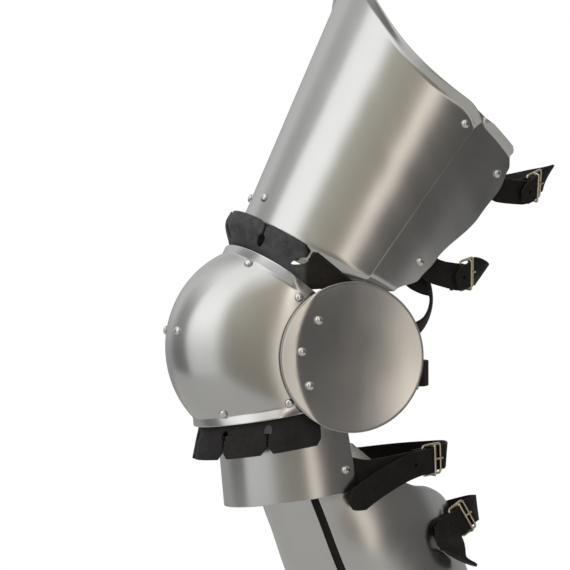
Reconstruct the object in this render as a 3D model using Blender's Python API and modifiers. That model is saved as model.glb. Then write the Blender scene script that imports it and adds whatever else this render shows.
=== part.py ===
"""A leg harness for the left leg: cuisse, poleyn with rondel, lower lame and greave, with leathers and straps.

Metres, +Z up, +X to the outer side of the leg, +Y to the back. The origin is the centre of the knee.
"""

import math

import bmesh
import bpy
from mathutils import Matrix, Vector
from mathutils.bvhtree import BVHTree

# Plates, leather and the play between pieces
STEEL = 0.0014
LEATHER = 0.0022
GAP = 0.0004
LAP = 0.0011
FLANGE = 0.008
FLANGE_FLARE = 0.005

# Thigh: tilt of its axis from upright, and the half sizes of the cuisse at the knee and at its top
THIGH_TILT = math.radians(29.4)
CUISSE_LENGTH = 0.337
CUISSE_HALF_WIDTH = 0.066
CUISSE_TOP_HALF_WIDTH = 0.093
CUISSE_DEPTH = 0.0855
CUISSE_TOP_DEPTH = 0.115
CUISSE_BACK_RATIO = 1.30
CUISSE_FOOT = 0.070
CUISSE_INNER_TURN = math.radians(-78)
CUISSE_SIDE_TOP = 0.269
CUISSE_INNER_TOP = 0.215
CUISSE_PEAK_TURN = math.radians(50)
CUISSE_INNER_PEAK_TURN = math.radians(62)
SEAM_FOOT_TURN = math.radians(95.3)
SEAM_TOP_TURN = math.radians(103.3)
SEAM_OVERLAP_TURN = math.radians(9)
SIDE_PLATE_FOOT = 0.070

# Knee: the dome's profile is an arc, cut by an upper and a lower rim that both tilt
DOME_RADIUS = 0.0915
DOME_BACK = -0.020
DOME_RISE = 0.009
POLEYN_HALF_WIDTH = 0.068
POLEYN_SIDE_BACK = -0.002
POLEYN_WING_DEPTH = 0.080
POLEYN_WRAP = math.radians(120)
UPPER_RIM_TILT = math.radians(36.8)
UPPER_RIM_BACK = 0.0245
UPPER_RIM_HEIGHT = 0.0436
LOWER_RIM_TILT = math.radians(10)
LOWER_RIM_BACK = 0.005
LOWER_RIM_HEIGHT = -0.048
POLEYN_FLARE = 0.0065

# Rondel: a shallow dish on the outer side of the knee
RONDEL_RADIUS = 0.0675
RONDEL_SIDE = 0.0692
RONDEL_BACK = 0.038
RONDEL_DISH = 0.0035
RONDEL_BEND = math.radians(13)
RONDEL_BEND_AT = 0.052

# Lower lame
LAME_TILT = math.radians(9)
LAME_BACK = 0.022
LAME_FOOT_HEIGHT = -0.124
LAME_LENGTH = 0.064
LAME_HALF_WIDTH = 0.0622
LAME_DEPTH = 0.078
LAME_TOP_DEPTH = 0.074
LAME_WRAP = math.radians(110)

# Shank: tilt of its axis from upright, and the greave's lengths along it, measured from the knee
SHANK_TILT = math.radians(23)
SHANK_BACK = 0.012
GREAVE_FOOT = 0.430
GREAVE_HALF_WIDTH = 0.0570
GREAVE_DEPTH = 0.0850
GREAVE_BACK_DEPTH = 0.0790
GREAVE_FRONT_TOP = 0.088
GREAVE_SIDE_TOP = 0.084
GREAVE_BACK_TOP = 0.186
GREAVE_HINGE_TURN = math.radians(53)
GREAVE_HINGE_WIDTH = 0.0065
GREAVE_BACK_WIDTH = 0.016

# Straps, buckles and rivets
STRAP_WIDTH = 0.023
RIBBON_STEP = 0.014
BUCKLE_LENGTH = 0.0210
BUCKLE_WIDTH = 0.0276
BUCKLE_WIRE = 0.0011
TONGUE_WIRE = 0.0009
RIVET_RADIUS = 0.0040
RIVET_HEIGHT = 0.0026
RIVET_SHANK = 0.0014
RIVET_TAIL = 0.0026
RIVET_TAIL_HEIGHT = 0.0010
SEAT = STEEL / 2 + GAP + LEATHER / 2

COLOURS = {
    "steel": ((0.55, 0.55, 0.54), 1.0, 0.32),
    "leather": ((0.022, 0.018, 0.017), 0.0, 0.55),
    "brass": ((0.62, 0.55, 0.38), 1.0, 0.30),
    "rivet": ((0.70, 0.70, 0.69), 1.0, 0.25),
}


def clear_scene():
    for item in list(bpy.data.objects):
        bpy.data.objects.remove(item)


clear_scene()
harness = bpy.data.collections.new("leg_harness")
cutters = bpy.data.collections.new("leg_harness_cutters")
bpy.context.scene.collection.children.link(harness)
bpy.context.scene.collection.children.link(cutters)
cutters.hide_render = True
knee = bpy.data.objects.new("knee_centre", None)
harness.objects.link(knee)
hole_list = {}
trees = {}
thicknesses = {}


def lerp(low, high, share):
    return low + (high - low) * share


def smooth(share):
    share = min(max(share, 0.0), 1.0)
    return share * share * (3 - 2 * share)


def table_value(rows, place):
    """A smooth value between the rows (place, value) of a short table."""
    if place <= rows[0][0]:
        return rows[0][1]
    for (low, before), (high, after) in zip(rows, rows[1:]):
        if place <= high:
            return lerp(before, after, smooth((place - low) / (high - low)))
    return rows[-1][1]


def spline(points, share):
    """A point on the smooth curve through all of these points."""
    place = min(max(share, 0.0), 1.0) * (len(points) - 1)
    index = min(int(place), len(points) - 2)
    part = place - index
    start = points[index]
    end = points[index + 1]
    before = points[index - 1] if index > 0 else start * 2 - end
    after = points[index + 2] if index + 2 < len(points) else end * 2 - start
    return 0.5 * (
        start * 2
        + (end - before) * part
        + (before * 2 - start * 5 + end * 4 - after) * part**2
        + (start * 3 - before - end * 3 + after) * part**3
    )


def finish(item, kind):
    colour, metallic, roughness = COLOURS[kind]
    material = bpy.data.materials.new(item.name + "_" + kind)
    material.use_nodes = True
    shader = material.node_tree.nodes["Principled BSDF"]
    shader.inputs["Base Color"].default_value = (*colour, 1)
    shader.inputs["Metallic"].default_value = metallic
    shader.inputs["Roughness"].default_value = roughness
    item.data.materials.append(material)


def add_piece(name, mesh, kind):
    item = bpy.data.objects.new(name, mesh)
    harness.objects.link(item)
    item.parent = knee
    finish(item, kind)
    mesh.shade_smooth()
    return item


def seat(corner, seats):
    """Keeps one corner of a leather clear of the plates it lies against: 1 is outside the plate, -1 inside."""
    for name, side in seats:
        near, normal, _, _ = trees[name].find_nearest(corner.co)
        away = corner.co - near
        height = away.dot(normal)
        beside = (away - normal * height).length
        if beside < 0.0008 and abs(height) < 0.006 and height * side < SEAT:
            corner.co = near + normal * side * SEAT


def sheet(name, surface, columns, rows, thickness, kind, outward, seats=()):
    """A plate or leather: a grid shaped by surface(across, along), thickened to both sides."""
    across = columns if isinstance(columns, list) else [i / columns for i in range(columns + 1)]
    along = rows if isinstance(rows, list) else [i / rows for i in range(rows + 1)]
    shape = bmesh.new()
    bmesh.ops.create_grid(shape, x_segments=len(across) - 1, y_segments=len(along) - 1, size=1)
    shape.verts.ensure_lookup_table()
    for corner in shape.verts:
        column = round((corner.co.x + 1) / 2 * (len(across) - 1))
        row = round((corner.co.y + 1) / 2 * (len(along) - 1))
        corner.co = surface(across[column], along[row])
        seat(corner, seats)
    shape.normal_update()
    shape.faces.ensure_lookup_table()
    middle = shape.faces[len(shape.faces) // 2]
    if middle.normal.dot(outward(middle.calc_center_median())) < 0:
        bmesh.ops.reverse_faces(shape, faces=shape.faces)
    trees[name] = BVHTree.FromBMesh(shape)
    thicknesses[name] = thickness
    mesh = bpy.data.meshes.new(name)
    shape.to_mesh(mesh)
    shape.free()
    item = add_piece(name, mesh, kind)
    wall = item.modifiers.new("wall", "SOLIDIFY")
    wall.thickness = thickness
    wall.offset = 0
    wall.use_even_offset = True
    mesh.set_sharp_from_angle(angle=math.radians(40))
    return item


def normal_of(surface, across, along):
    """The outward direction of a surface(turn, along, out) at one place."""
    step = 0.002
    side = surface(across + step, along) - surface(across - step, along)
    up = surface(across, along + step) - surface(across, along - step)
    normal = side.cross(up).normalized()
    away = surface(across, along, 0.01) - surface(across, along)
    return normal if normal.dot(away) > 0 else -normal


def cylinder_cut(name, place, direction, radius):
    hole_list.setdefault(name, []).append(("round", place, direction, radius))


def box_cut(name, matrix, size):
    hole_list.setdefault(name, []).append(("box", matrix, size, None))


def cut_holes():
    """Each listed piece gets one cutter that holds all of its holes."""
    for name, cuts in hole_list.items():
        shape = bmesh.new()
        for kind, place, direction, radius in cuts:
            if kind == "round":
                turned = direction.to_track_quat("Z", "Y").to_matrix().to_4x4()
                matrix = Matrix.Translation(place) @ turned
                bmesh.ops.create_cone(
                    shape, cap_ends=True, segments=8, radius1=radius, radius2=radius, depth=0.024, matrix=matrix
                )
            else:
                matrix = place @ Matrix.Diagonal((*direction, 1))
                bmesh.ops.create_cube(shape, size=1, matrix=matrix)
        mesh = bpy.data.meshes.new(name + "_holes")
        shape.to_mesh(mesh)
        shape.free()
        cutter = bpy.data.objects.new(name + "_holes", mesh)
        cutters.objects.link(cutter)
        cutter.hide_render = True
        cutter.display_type = "WIRE"
        cut = bpy.data.objects[name].modifiers.new("holes", "BOOLEAN")
        cut.operation = "DIFFERENCE"
        cut.solver = "EXACT"
        cut.use_self = any(kind == "box" for kind, *_ in cuts)
        cut.object = cutter


# Surfaces of the limb


def limb_offset(half_width, front, back, turn):
    depth = front if math.cos(turn) >= 0 else back
    return half_width * math.sin(turn), -depth * math.cos(turn)


def thigh(turn, along, out=0.0):
    """A point of the cuisse, at a length along the thigh from the knee and a turn from its front."""
    share = along / CUISSE_LENGTH
    width = lerp(CUISSE_HALF_WIDTH, CUISSE_TOP_HALF_WIDTH, share) + out
    front = lerp(CUISSE_DEPTH, CUISSE_TOP_DEPTH, share)
    x, back = limb_offset(width, front + out, front * CUISSE_BACK_RATIO + out, turn)
    lift, lean = math.cos(THIGH_TILT), math.sin(THIGH_TILT)
    return Vector((x, along * lean + back * lift, along * lift - back * lean))


# Each row: share of the greave's length, then half width, front and back depth as shares of their sizes
GREAVE_SECTIONS = [
    (0.18, 0.905, 0.93, 0.93),
    (0.30, 0.965, 0.97, 0.97),
    (0.42, 1.00, 1.00, 1.00),
    (0.56, 0.97, 0.99, 0.93),
    (0.75, 0.82, 0.90, 0.74),
    (0.94, 0.69, 0.74, 0.58),
    (1.00, 0.72, 0.75, 0.62),
]
GREAVE_WIDTHS = [(row[0], row[1]) for row in GREAVE_SECTIONS]
GREAVE_FRONTS = [(row[0], row[2]) for row in GREAVE_SECTIONS]
GREAVE_BACKS = [(row[0], row[3]) for row in GREAVE_SECTIONS]


def shank(turn, along, out=0.0):
    """A point of the greave, at a length down the shank from the knee and a turn from its front."""
    share = along / GREAVE_FOOT
    width = GREAVE_HALF_WIDTH * table_value(GREAVE_WIDTHS, share) + out
    front = GREAVE_DEPTH * table_value(GREAVE_FRONTS, share) + out
    rear = GREAVE_BACK_DEPTH * table_value(GREAVE_BACKS, share) + out
    x, back = limb_offset(width, front, rear, turn)
    drop, lean = math.cos(SHANK_TILT), math.sin(SHANK_TILT)
    return Vector((x, SHANK_BACK + along * lean + back * drop, back * lean - along * drop))


def fan_pivot():
    """Where the planes of the two rims of the poleyn meet, behind the knee."""
    upper = Vector((math.cos(UPPER_RIM_TILT), -math.sin(UPPER_RIM_TILT)))
    lower = Vector((math.cos(LOWER_RIM_TILT), math.sin(LOWER_RIM_TILT)))
    offset = Vector((LOWER_RIM_BACK - UPPER_RIM_BACK, LOWER_RIM_HEIGHT - UPPER_RIM_HEIGHT))
    reach = (offset.x * lower.y - offset.y * lower.x) / (upper.x * lower.y - upper.y * lower.x)
    return Vector((UPPER_RIM_BACK, UPPER_RIM_HEIGHT)) + upper * reach


PIVOT = fan_pivot()


def dome_reach(tilt, centre_back, centre_rise, radius):
    """How far forward of the pivot a plane through it leaves an arc of this radius."""
    ahead = Vector((-math.cos(tilt), math.sin(tilt)))
    start = PIVOT - Vector((centre_back, centre_rise))
    along = start.dot(ahead)
    return -along + math.sqrt(along**2 - start.length_squared + radius**2)


def dome_arc(turn):
    """Length of the dome from rim to rim at one turn from its front."""
    side = (UPPER_RIM_HEIGHT - LOWER_RIM_HEIGHT) * 1.05
    front = DOME_RADIUS * 1.86
    return lerp(side, front, max(math.cos(turn), 0.0))


def poleyn(turn, along, out=0.0):
    """A point of the poleyn, at a share of the way from its upper to its lower rim."""
    tilt = lerp(UPPER_RIM_TILT, -LOWER_RIM_TILT, along)
    reach = dome_reach(tilt, DOME_BACK, DOME_RISE, DOME_RADIUS)
    middle = (PIVOT.x - POLEYN_SIDE_BACK) / math.cos(tilt)
    bulge = 1 - (2 * along - 1) ** 4
    width = POLEYN_HALF_WIDTH * lerp(0.955, 1, bulge) + out
    x, back = limb_offset(width, reach - middle + out, POLEYN_WING_DEPTH + out, turn)
    ahead = middle - back
    return Vector((x, PIVOT.x - ahead * math.cos(tilt), PIVOT.y + ahead * math.sin(tilt)))


def poleyn_flare(turn):
    """The rims' flare, which dies away under the rondel."""
    return POLEYN_FLARE * lerp(1.0, 0.1, smooth((abs(turn) - math.radians(68)) / math.radians(18)))


def poleyn_plate(turn, along, out=0.0):
    """The poleyn with its two flared rims."""
    edge = min(along, 1 - along) * dome_arc(turn)
    flare = poleyn_flare(turn) * max(0.0, 1 - edge / FLANGE)
    return poleyn(turn, along, out + flare)


def lame(turn, along, out=0.0):
    """A point of the lower lame, at a share of the way from its top to its foot."""
    drop, lean = math.cos(LAME_TILT), math.sin(LAME_TILT)
    depth = lerp(LAME_TOP_DEPTH, LAME_DEPTH, along) + out
    x, back = limb_offset(LAME_HALF_WIDTH + out, depth, depth, turn)
    rise = LAME_LENGTH * (1 - along)
    return Vector((x, LAME_BACK - rise * lean + back * drop, LAME_FOOT_HEIGHT + rise * drop + back * lean))


def from_axis(place):
    """Away from the axis of the thigh above the knee and of the shank below it."""
    lean = math.tan(THIGH_TILT) if place.z > 0 else -math.tan(SHANK_TILT)
    centre = Vector((0, place.z * lean, place.z))
    return (place - centre).normalized()


# Plates


def cuisse_top(turn):
    """Length along the thigh of the cuisse's top edge, highest at the front."""
    side = CUISSE_SIDE_TOP if turn > 0 else CUISSE_INNER_TOP
    peak = CUISSE_PEAK_TURN if turn > 0 else CUISSE_INNER_PEAK_TURN
    return side + (CUISSE_LENGTH - side) * math.exp(-((turn / peak) ** 2))


def flared(top, along):
    return FLANGE_FLARE * max(0.0, 1 - (top - along) / FLANGE)


def cuisse_draw_in(turn, along):
    """The foot of the cuisse is drawn in, most at its sides, so that the leather passes over it."""
    return lerp(0.0035, 0.0075, math.sin(turn) ** 2) * smooth((0.090 - along) / 0.018)


def seam_turn(along):
    share = (along - SIDE_PLATE_FOOT) / (CUISSE_SIDE_TOP - SIDE_PLATE_FOOT)
    return lerp(SEAM_FOOT_TURN, SEAM_TOP_TURN, share)


def make_cuisse():
    def surface(across, along):
        top = cuisse_top(lerp(CUISSE_INNER_TURN, SEAM_TOP_TURN, across))
        end_drop = 0.009 * max(0.0, (across - 0.94) / 0.06) ** 2.5 + 0.012 * max(0.0, (0.06 - across) / 0.06) ** 2.5
        foot_lift = 0.008 * max(0.0, (across - 0.94) / 0.06) ** 2.5
        top -= end_drop
        foot = CUISSE_FOOT + foot_lift
        if along > 0.97:
            length = lerp(top - FLANGE, top, (along - 0.97) / 0.03)
        else:
            length = lerp(foot, top - FLANGE, along / 0.97)
        turn = lerp(CUISSE_INNER_TURN, seam_turn(length), across)
        draw_in = cuisse_draw_in(turn, length)
        return thigh(turn, length, flared(top, length) - draw_in)

    rows = [0.0, 0.04, 0.08, 0.12, 0.24, 0.39, 0.54, 0.69, 0.84, 0.97, 1.0]
    columns = [0.0, 0.02] + [lerp(0.055, 0.945, i / 18) for i in range(19)] + [0.98, 1.0]
    sheet("cuisse_plate", surface, columns, rows, STEEL, "steel", from_axis)


# Each row: share of the side plate's length, then how far its rear edge turns, as a share of the way to its limit
SIDE_PLATE_TURN = math.radians(130.5)
SIDE_PLATE_EDGE = [
    (0.00, 0.04),
    (0.05, 0.12),
    (0.11, 0.42),
    (0.217, 0.64),
    (0.326, 0.70),
    (0.62, 0.95),
    (0.772, 1.00),
    (0.867, 0.93),
    (0.934, 0.78),
    (1.00, 0.40),
]


def side_plate_turn(across, along):
    """The side plate starts under the cuisse's edge and ends in its rear edge."""
    length = lerp(SIDE_PLATE_FOOT, CUISSE_SIDE_TOP, along)
    start = seam_turn(length) - SEAM_OVERLAP_TURN
    end = lerp(seam_turn(length), SIDE_PLATE_TURN, table_value(SIDE_PLATE_EDGE, along))
    return lerp(start, end, across)


def side_plate(across, along, out=0.0):
    top = CUISSE_SIDE_TOP + 0.0015 - 0.010 * across**2 - 0.018 * smooth((0.3 - across) / 0.2)
    foot = SIDE_PLATE_FOOT + 0.010 * across
    if along > 0.95:
        length = lerp(top - FLANGE, top, (along - 0.95) / 0.05)
    else:
        length = lerp(foot, top - FLANGE, along / 0.95)
    share = (length - SIDE_PLATE_FOOT) / (CUISSE_SIDE_TOP - SIDE_PLATE_FOOT)
    turn = side_plate_turn(across, share)
    flare = flared(top, length) * smooth((turn - seam_turn(length)) / math.radians(6))
    draw_in = 0.0075 * smooth((0.094 - length) / 0.018)
    return thigh(turn, length, out + flare - STEEL - LAP - draw_in * 1.12)


def make_side_plate():
    columns = [0.0, 0.15, 0.3, 0.45, 0.65, 0.85, 1.0]
    rows = [0.0, 0.03, 0.06, 0.1, 0.2, 0.33, 0.48, 0.64, 0.75, 0.85, 0.91, 0.95, 1.0]
    sheet("cuisse_side_plate", side_plate, columns, rows, STEEL, "steel", from_axis)


def poleyn_turn(across, along):
    """The wings of the poleyn reach furthest back at mid height."""
    reach = 1 - 0.16 * (2 * along - 1) ** 2
    return lerp(-POLEYN_WRAP * reach, POLEYN_WRAP * reach, across)


def make_poleyn():
    def surface(across, along):
        turn = poleyn_turn(across, 0.5)
        near = FLANGE / dome_arc(turn)
        if along < 0.1:
            share = lerp(0, near, along / 0.1)
        elif along > 0.9:
            share = lerp(1 - near, 1, (along - 0.9) / 0.1)
        else:
            share = lerp(near, 1 - near, (along - 0.1) / 0.8)
        return poleyn_plate(poleyn_turn(across, share), share)

    rows = [0.0] + [lerp(0.1, 0.9, i / 9) for i in range(10)] + [1.0]
    sheet("poleyn", surface, 22, rows, STEEL, "steel", from_axis)


def rondel_surface(radius, angle, out=0.0):
    """The rondel's face: a dish that stands out at its rim, bent in at its front to follow the dome."""
    back = radius * math.cos(angle)
    rise = radius * math.sin(angle)
    dish = RONDEL_DISH * (radius / RONDEL_RADIUS) ** 2
    edge = -back - RONDEL_BEND_AT + 0.006 * (rise / RONDEL_RADIUS) ** 2 * 4
    bend = max(0.0, edge) * math.tan(RONDEL_BEND)
    return Vector((RONDEL_SIDE + dish - bend + out, RONDEL_BACK + back, rise))


def make_rondel():
    shape = bmesh.new()
    rings = 5
    chain = [shape.verts.new((RONDEL_RADIUS * i / rings, 0, 0)) for i in range(rings + 1)]
    edges = [shape.edges.new(pair) for pair in zip(chain, chain[1:])]
    bmesh.ops.spin(shape, geom=chain + edges, axis=(0, 0, 1), cent=(0, 0, 0), angle=math.tau, steps=28)
    bmesh.ops.remove_doubles(shape, verts=shape.verts, dist=0.00001)
    for corner in shape.verts:
        flat = corner.co.to_2d()
        angle = math.atan2(flat.y, flat.x) if flat.length > 0 else 0.0
        corner.co = rondel_surface(flat.length, angle)
    bmesh.ops.recalc_face_normals(shape, faces=shape.faces)
    shape.faces.ensure_lookup_table()
    if shape.faces[0].normal.x < 0:
        bmesh.ops.reverse_faces(shape, faces=shape.faces)
    trees["rondel"] = BVHTree.FromBMesh(shape)
    thicknesses["rondel"] = STEEL
    mesh = bpy.data.meshes.new("rondel")
    shape.to_mesh(mesh)
    shape.free()
    item = add_piece("rondel", mesh, "steel")
    wall = item.modifiers.new("wall", "SOLIDIFY")
    wall.thickness = STEEL
    wall.offset = 0
    mesh.set_sharp_from_angle(angle=math.radians(40))


def make_lame():
    def surface(across, along):
        turn = lerp(-LAME_WRAP, LAME_WRAP, across)
        corner = 0.06 * max(0.0, (abs(2 * across - 1) - 0.94) / 0.06) ** 2
        return lame(turn, min(along, 1 - corner) if along > 0.5 else max(along, corner))

    columns = [0.0, 0.015] + [lerp(0.04, 0.96, i / 16) for i in range(17)] + [0.985, 1.0]
    sheet("lower_lame", surface, columns, 3, STEEL, "steel", from_axis)


# How far the calf's top edge has dropped, at equal turns from the side to the back
CALF_EDGE = [0.0, 0.36, 0.58, 0.68, 0.81, 0.95, 1.0]


def greave_top(turn):
    """Length down the shank of the greave's top edge: level at the front and side, lower round the back."""
    share = (abs(turn) - math.pi / 2) / (math.pi / 2)
    if share <= 0:
        return lerp(GREAVE_FRONT_TOP, GREAVE_SIDE_TOP, abs(turn) / (math.pi / 2))
    drop = spline([Vector((value, 0)) for value in CALF_EDGE], share).x
    return lerp(GREAVE_SIDE_TOP, GREAVE_BACK_TOP, drop)


GREAVE_ROWS = [0.975 * i / 9 for i in range(10)]


def make_greave_plate(name, first_turn, last_turn, columns):
    def surface(across, along):
        turn = lerp(first_turn, last_turn, across)
        length = lerp(greave_top(turn), GREAVE_FOOT, along)
        edge = (GREAVE_FOOT - length) / FLANGE
        return shank(turn, length, FLANGE_FLARE * 0.6 * max(0.0, 1 - edge))

    sheet(name, surface, columns, GREAVE_ROWS + [1.0], STEEL, "steel", from_axis)


def hinge_turns():
    """The turns on both sides of the gap between the greave's plates."""
    half = GREAVE_HINGE_WIDTH / 2 / (GREAVE_HALF_WIDTH + GREAVE_DEPTH) * 2
    return GREAVE_HINGE_TURN - half, GREAVE_HINGE_TURN + half


def back_turn():
    return math.pi - GREAVE_BACK_WIDTH / 2 / GREAVE_HALF_WIDTH


def make_greave():
    before, after = hinge_turns()
    make_greave_plate("greave_front_plate", -before, before, 12)
    make_greave_plate("greave_calf_outer", after, back_turn(), 9)
    make_greave_plate("greave_calf_inner", -back_turn(), -after, 9)


# Leathers


def upper_band(turn, along, out=0.0):
    """The dagged leather over the cuisse's foot, held under the poleyn's upper rim."""
    top = lerp(UPPER_BAND_SIDE_TOP, UPPER_BAND_TOP, max(math.cos(turn), 0.0))
    over = STEEL / 2 + GAP + LEATHER / 2
    stand_off = UPPER_BAND_STAND_OFF * max(math.cos(turn), 0.0) ** 2
    middle = lerp(CUISSE_FOOT, top, 0.4)
    points = [
        poleyn(turn, 0.018 / dome_arc(turn), out - SEAT - 0.0010),
        poleyn(turn, 0.008 / dome_arc(turn), out - SEAT - 0.0007),
        poleyn(turn, 0.0, out + poleyn_flare(turn) * 0.42 - SEAT),
        thigh(turn, middle, out + over + stand_off - cuisse_draw_in(turn, middle)),
        thigh(turn, top, out + over + stand_off * 0.8 - cuisse_draw_in(turn, top)),
    ]
    return spline(points, along)


UPPER_BAND_TURNS = (math.radians(-74), math.radians(90))
UPPER_BAND_TOP = 0.0910
UPPER_BAND_SIDE_TOP = 0.0775
UPPER_BAND_STAND_OFF = 0.0130
LOWER_BAND_TURNS = (math.radians(-93), math.radians(99))
LOWER_BAND_DROP = 0.031
LOWER_BAND_LEAN = 0.20
KEYHOLE_RADIUS = 0.0036
SLIT_WIDTH = 0.0018


def lower_band(turn, along, out=0.0):
    """The dagged leather that hangs from inside the poleyn's lower rim."""
    first = poleyn(turn, 1 - 0.018 / dome_arc(turn), out - SEAT - 0.0006)
    second = poleyn(turn, 1 - 0.008 / dome_arc(turn), out - SEAT - 0.0006)
    rim = poleyn(turn, 1.0, out - SEAT + poleyn_flare(turn) * 0.55)
    lean = Vector((0.13 * math.sin(turn), lerp(0.03, -LOWER_BAND_LEAN, max(math.cos(turn), 0.0)), -1)).normalized()
    points = [first, second, rim, rim + lean * LOWER_BAND_DROP / 2, rim + lean * LOWER_BAND_DROP]
    return spline(points, along)


UPPER_SLITS = [-40, -4, 32, 61]
LOWER_SLITS = [-70, -38, -5, 31, 63]


def make_band(name, surface, limits, rows, slits, slit_start, seats):
    """A leather band with slits that end in round keyholes, so that it divides into tabs."""

    def shape(across, along):
        return surface(lerp(*limits, across), along)

    sheet(name, shape, 20, rows, LEATHER, "leather", from_axis, seats)
    for degrees in slits:
        turn = math.radians(degrees)
        hole = surface(turn, slit_start)
        tip = surface(turn, 1.0)
        direction = normal_of(surface, turn, slit_start)
        cylinder_cut(name, hole, direction, KEYHOLE_RADIUS)
        run = tip - hole
        side = run.cross(direction).normalized()
        facing = side.cross(run).normalized()
        turned = Matrix((side, run.normalized(), facing)).transposed().to_4x4()
        box_cut(name, Matrix.Translation(hole + run * 0.6) @ turned, (SLIT_WIDTH, run.length * 1.2, 0.012))


def make_upper_band():
    rows = [0.0, 0.125, 0.25, 0.375, 0.5, 0.625, 0.75, 1.0]
    seats = [("poleyn", -1), ("cuisse_plate", 1)]
    make_band("upper_dagged_band", upper_band, UPPER_BAND_TURNS, rows, UPPER_SLITS, 0.68, seats)


def make_lower_band():
    rows = [0.0, 0.125, 0.25, 0.375, 0.5, 0.75, 1.0]
    seats = [("poleyn", -1), ("lower_lame", 1)]
    make_band("lower_dagged_band", lower_band, LOWER_BAND_TURNS, rows, LOWER_SLITS, 0.66, seats)


def make_centre_leather():
    """The leather inside the front that joins cuisse, poleyn and lame and lets the knee bend."""

    def surface(across, along):
        turn = lerp(-1, 1, across) * math.radians(24)
        points = [
            thigh(turn, 0.122, -SEAT),
            thigh(turn, 0.104, -SEAT),
            thigh(turn, 0.086, -SEAT - 0.003),
            thigh(turn, 0.064, -SEAT - 0.0065),
            poleyn(turn, 0.30, -SEAT - 0.005),
            poleyn(turn, 0.47, -SEAT),
            poleyn(turn, 0.56, -SEAT),
            poleyn(turn, 0.74, -SEAT - 0.006),
            lame(turn, 0.02, -SEAT - 0.003),
            lame(turn, 0.22, -SEAT),
            lame(turn, 0.45, -SEAT),
        ]
        return spline(points, along)

    seats = [("cuisse_plate", -1), ("poleyn", -1), ("lower_lame", -1)]
    sheet("centre_leather", surface, 3, 20, LEATHER, "leather", from_axis, seats)


def make_greave_hinge(name, side):
    before, after = hinge_turns()

    def surface(across, along):
        turn = lerp(before - math.radians(8), after + math.radians(8), across) * side
        return shank(turn, lerp(greave_top(turn), GREAVE_FOOT, along), -SEAT - 0.0003)

    half = "outer" if side > 0 else "inner"
    seats = [("greave_front_plate", -1), ("greave_calf_" + half, -1)]
    rows = [0.02] + GREAVE_ROWS[1:-1] + [0.94]
    sheet(name, surface, [0.0, 0.4, 0.6, 1.0], rows, LEATHER, "leather", from_axis, seats)


# Rivets


def grip(place, direction, pieces, radius):
    """How far the pieces reach from this place, against the direction, anywhere under a disc of this radius."""
    side = direction.orthogonal().normalized()
    other = direction.cross(side)
    reach = 0.0
    for step in range(8):
        turn = math.tau * step / 8
        start = place + (side * math.cos(turn) + other * math.sin(turn)) * radius + direction * 0.006
        for piece in pieces:
            hit, normal, _, away = trees[piece].ray_cast(start, -direction, 0.018)
            if hit is not None:
                slant = max(abs(normal.dot(direction)), 0.5)
                reach = max(reach, away - 0.006 + thicknesses[piece] / 2 / slant)
    return reach


def rivet(name, place, direction, pieces):
    """A domed rivet: its head stands on the outer face, and its tail is below all that it holds."""
    head = grip(place, -direction, pieces[:1], RIVET_RADIUS) + GAP
    tail = grip(place, direction, pieces, RIVET_TAIL) + GAP
    profile = [
        (0, head + RIVET_HEIGHT),
        (RIVET_RADIUS * 0.66, head + RIVET_HEIGHT * 0.72),
        (RIVET_RADIUS, head),
        (RIVET_SHANK, head),
        (RIVET_SHANK, -tail),
        (RIVET_TAIL, -tail),
        (0, -tail - RIVET_TAIL_HEIGHT),
    ]
    shape = bmesh.new()
    chain = [shape.verts.new((x, 0, z)) for x, z in profile]
    for pair in zip(chain, chain[1:]):
        shape.edges.new(pair)
    mesh = bpy.data.meshes.new(name)
    shape.to_mesh(mesh)
    shape.free()
    item = add_piece(name, mesh, "rivet")
    turn = item.modifiers.new("turn", "SCREW")
    turn.axis = "Z"
    turn.steps = 9
    turn.render_steps = 9
    turn.use_merge_vertices = True
    turn.merge_threshold = 0.00001
    turn.use_normal_calculate = True
    turn.use_normal_flip = True
    item.matrix_world = Matrix.Translation(place) @ direction.to_track_quat("Z", "Y").to_matrix().to_4x4()
    for piece in pieces:
        cylinder_cut(piece, place, direction, RIVET_SHANK + GAP)


def surface_rivet(name, surface, degrees, along, pieces, out=0.0):
    turn = math.radians(degrees)
    rivet(name, surface(turn, along, out), normal_of(surface, turn, along), pieces)


# Each row: part of the name, then the turn from the front in degrees
BAND_RIVETS_UPPER = [("upper_outer_front", 37), ("upper_outer_side", 82.5), ("upper_inner", -50)]
BAND_RIVETS_LOWER = [("lower_outer_front", 36), ("lower_outer_side", 79), ("lower_inner", -50)]

# Each row: how far ahead of the rondel's centre a rivet is, and how far above it
RONDEL_RIVETS = [(0.0321, 0.0330), (0.0480, 0.0053), (0.0406, -0.0249)]


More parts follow.
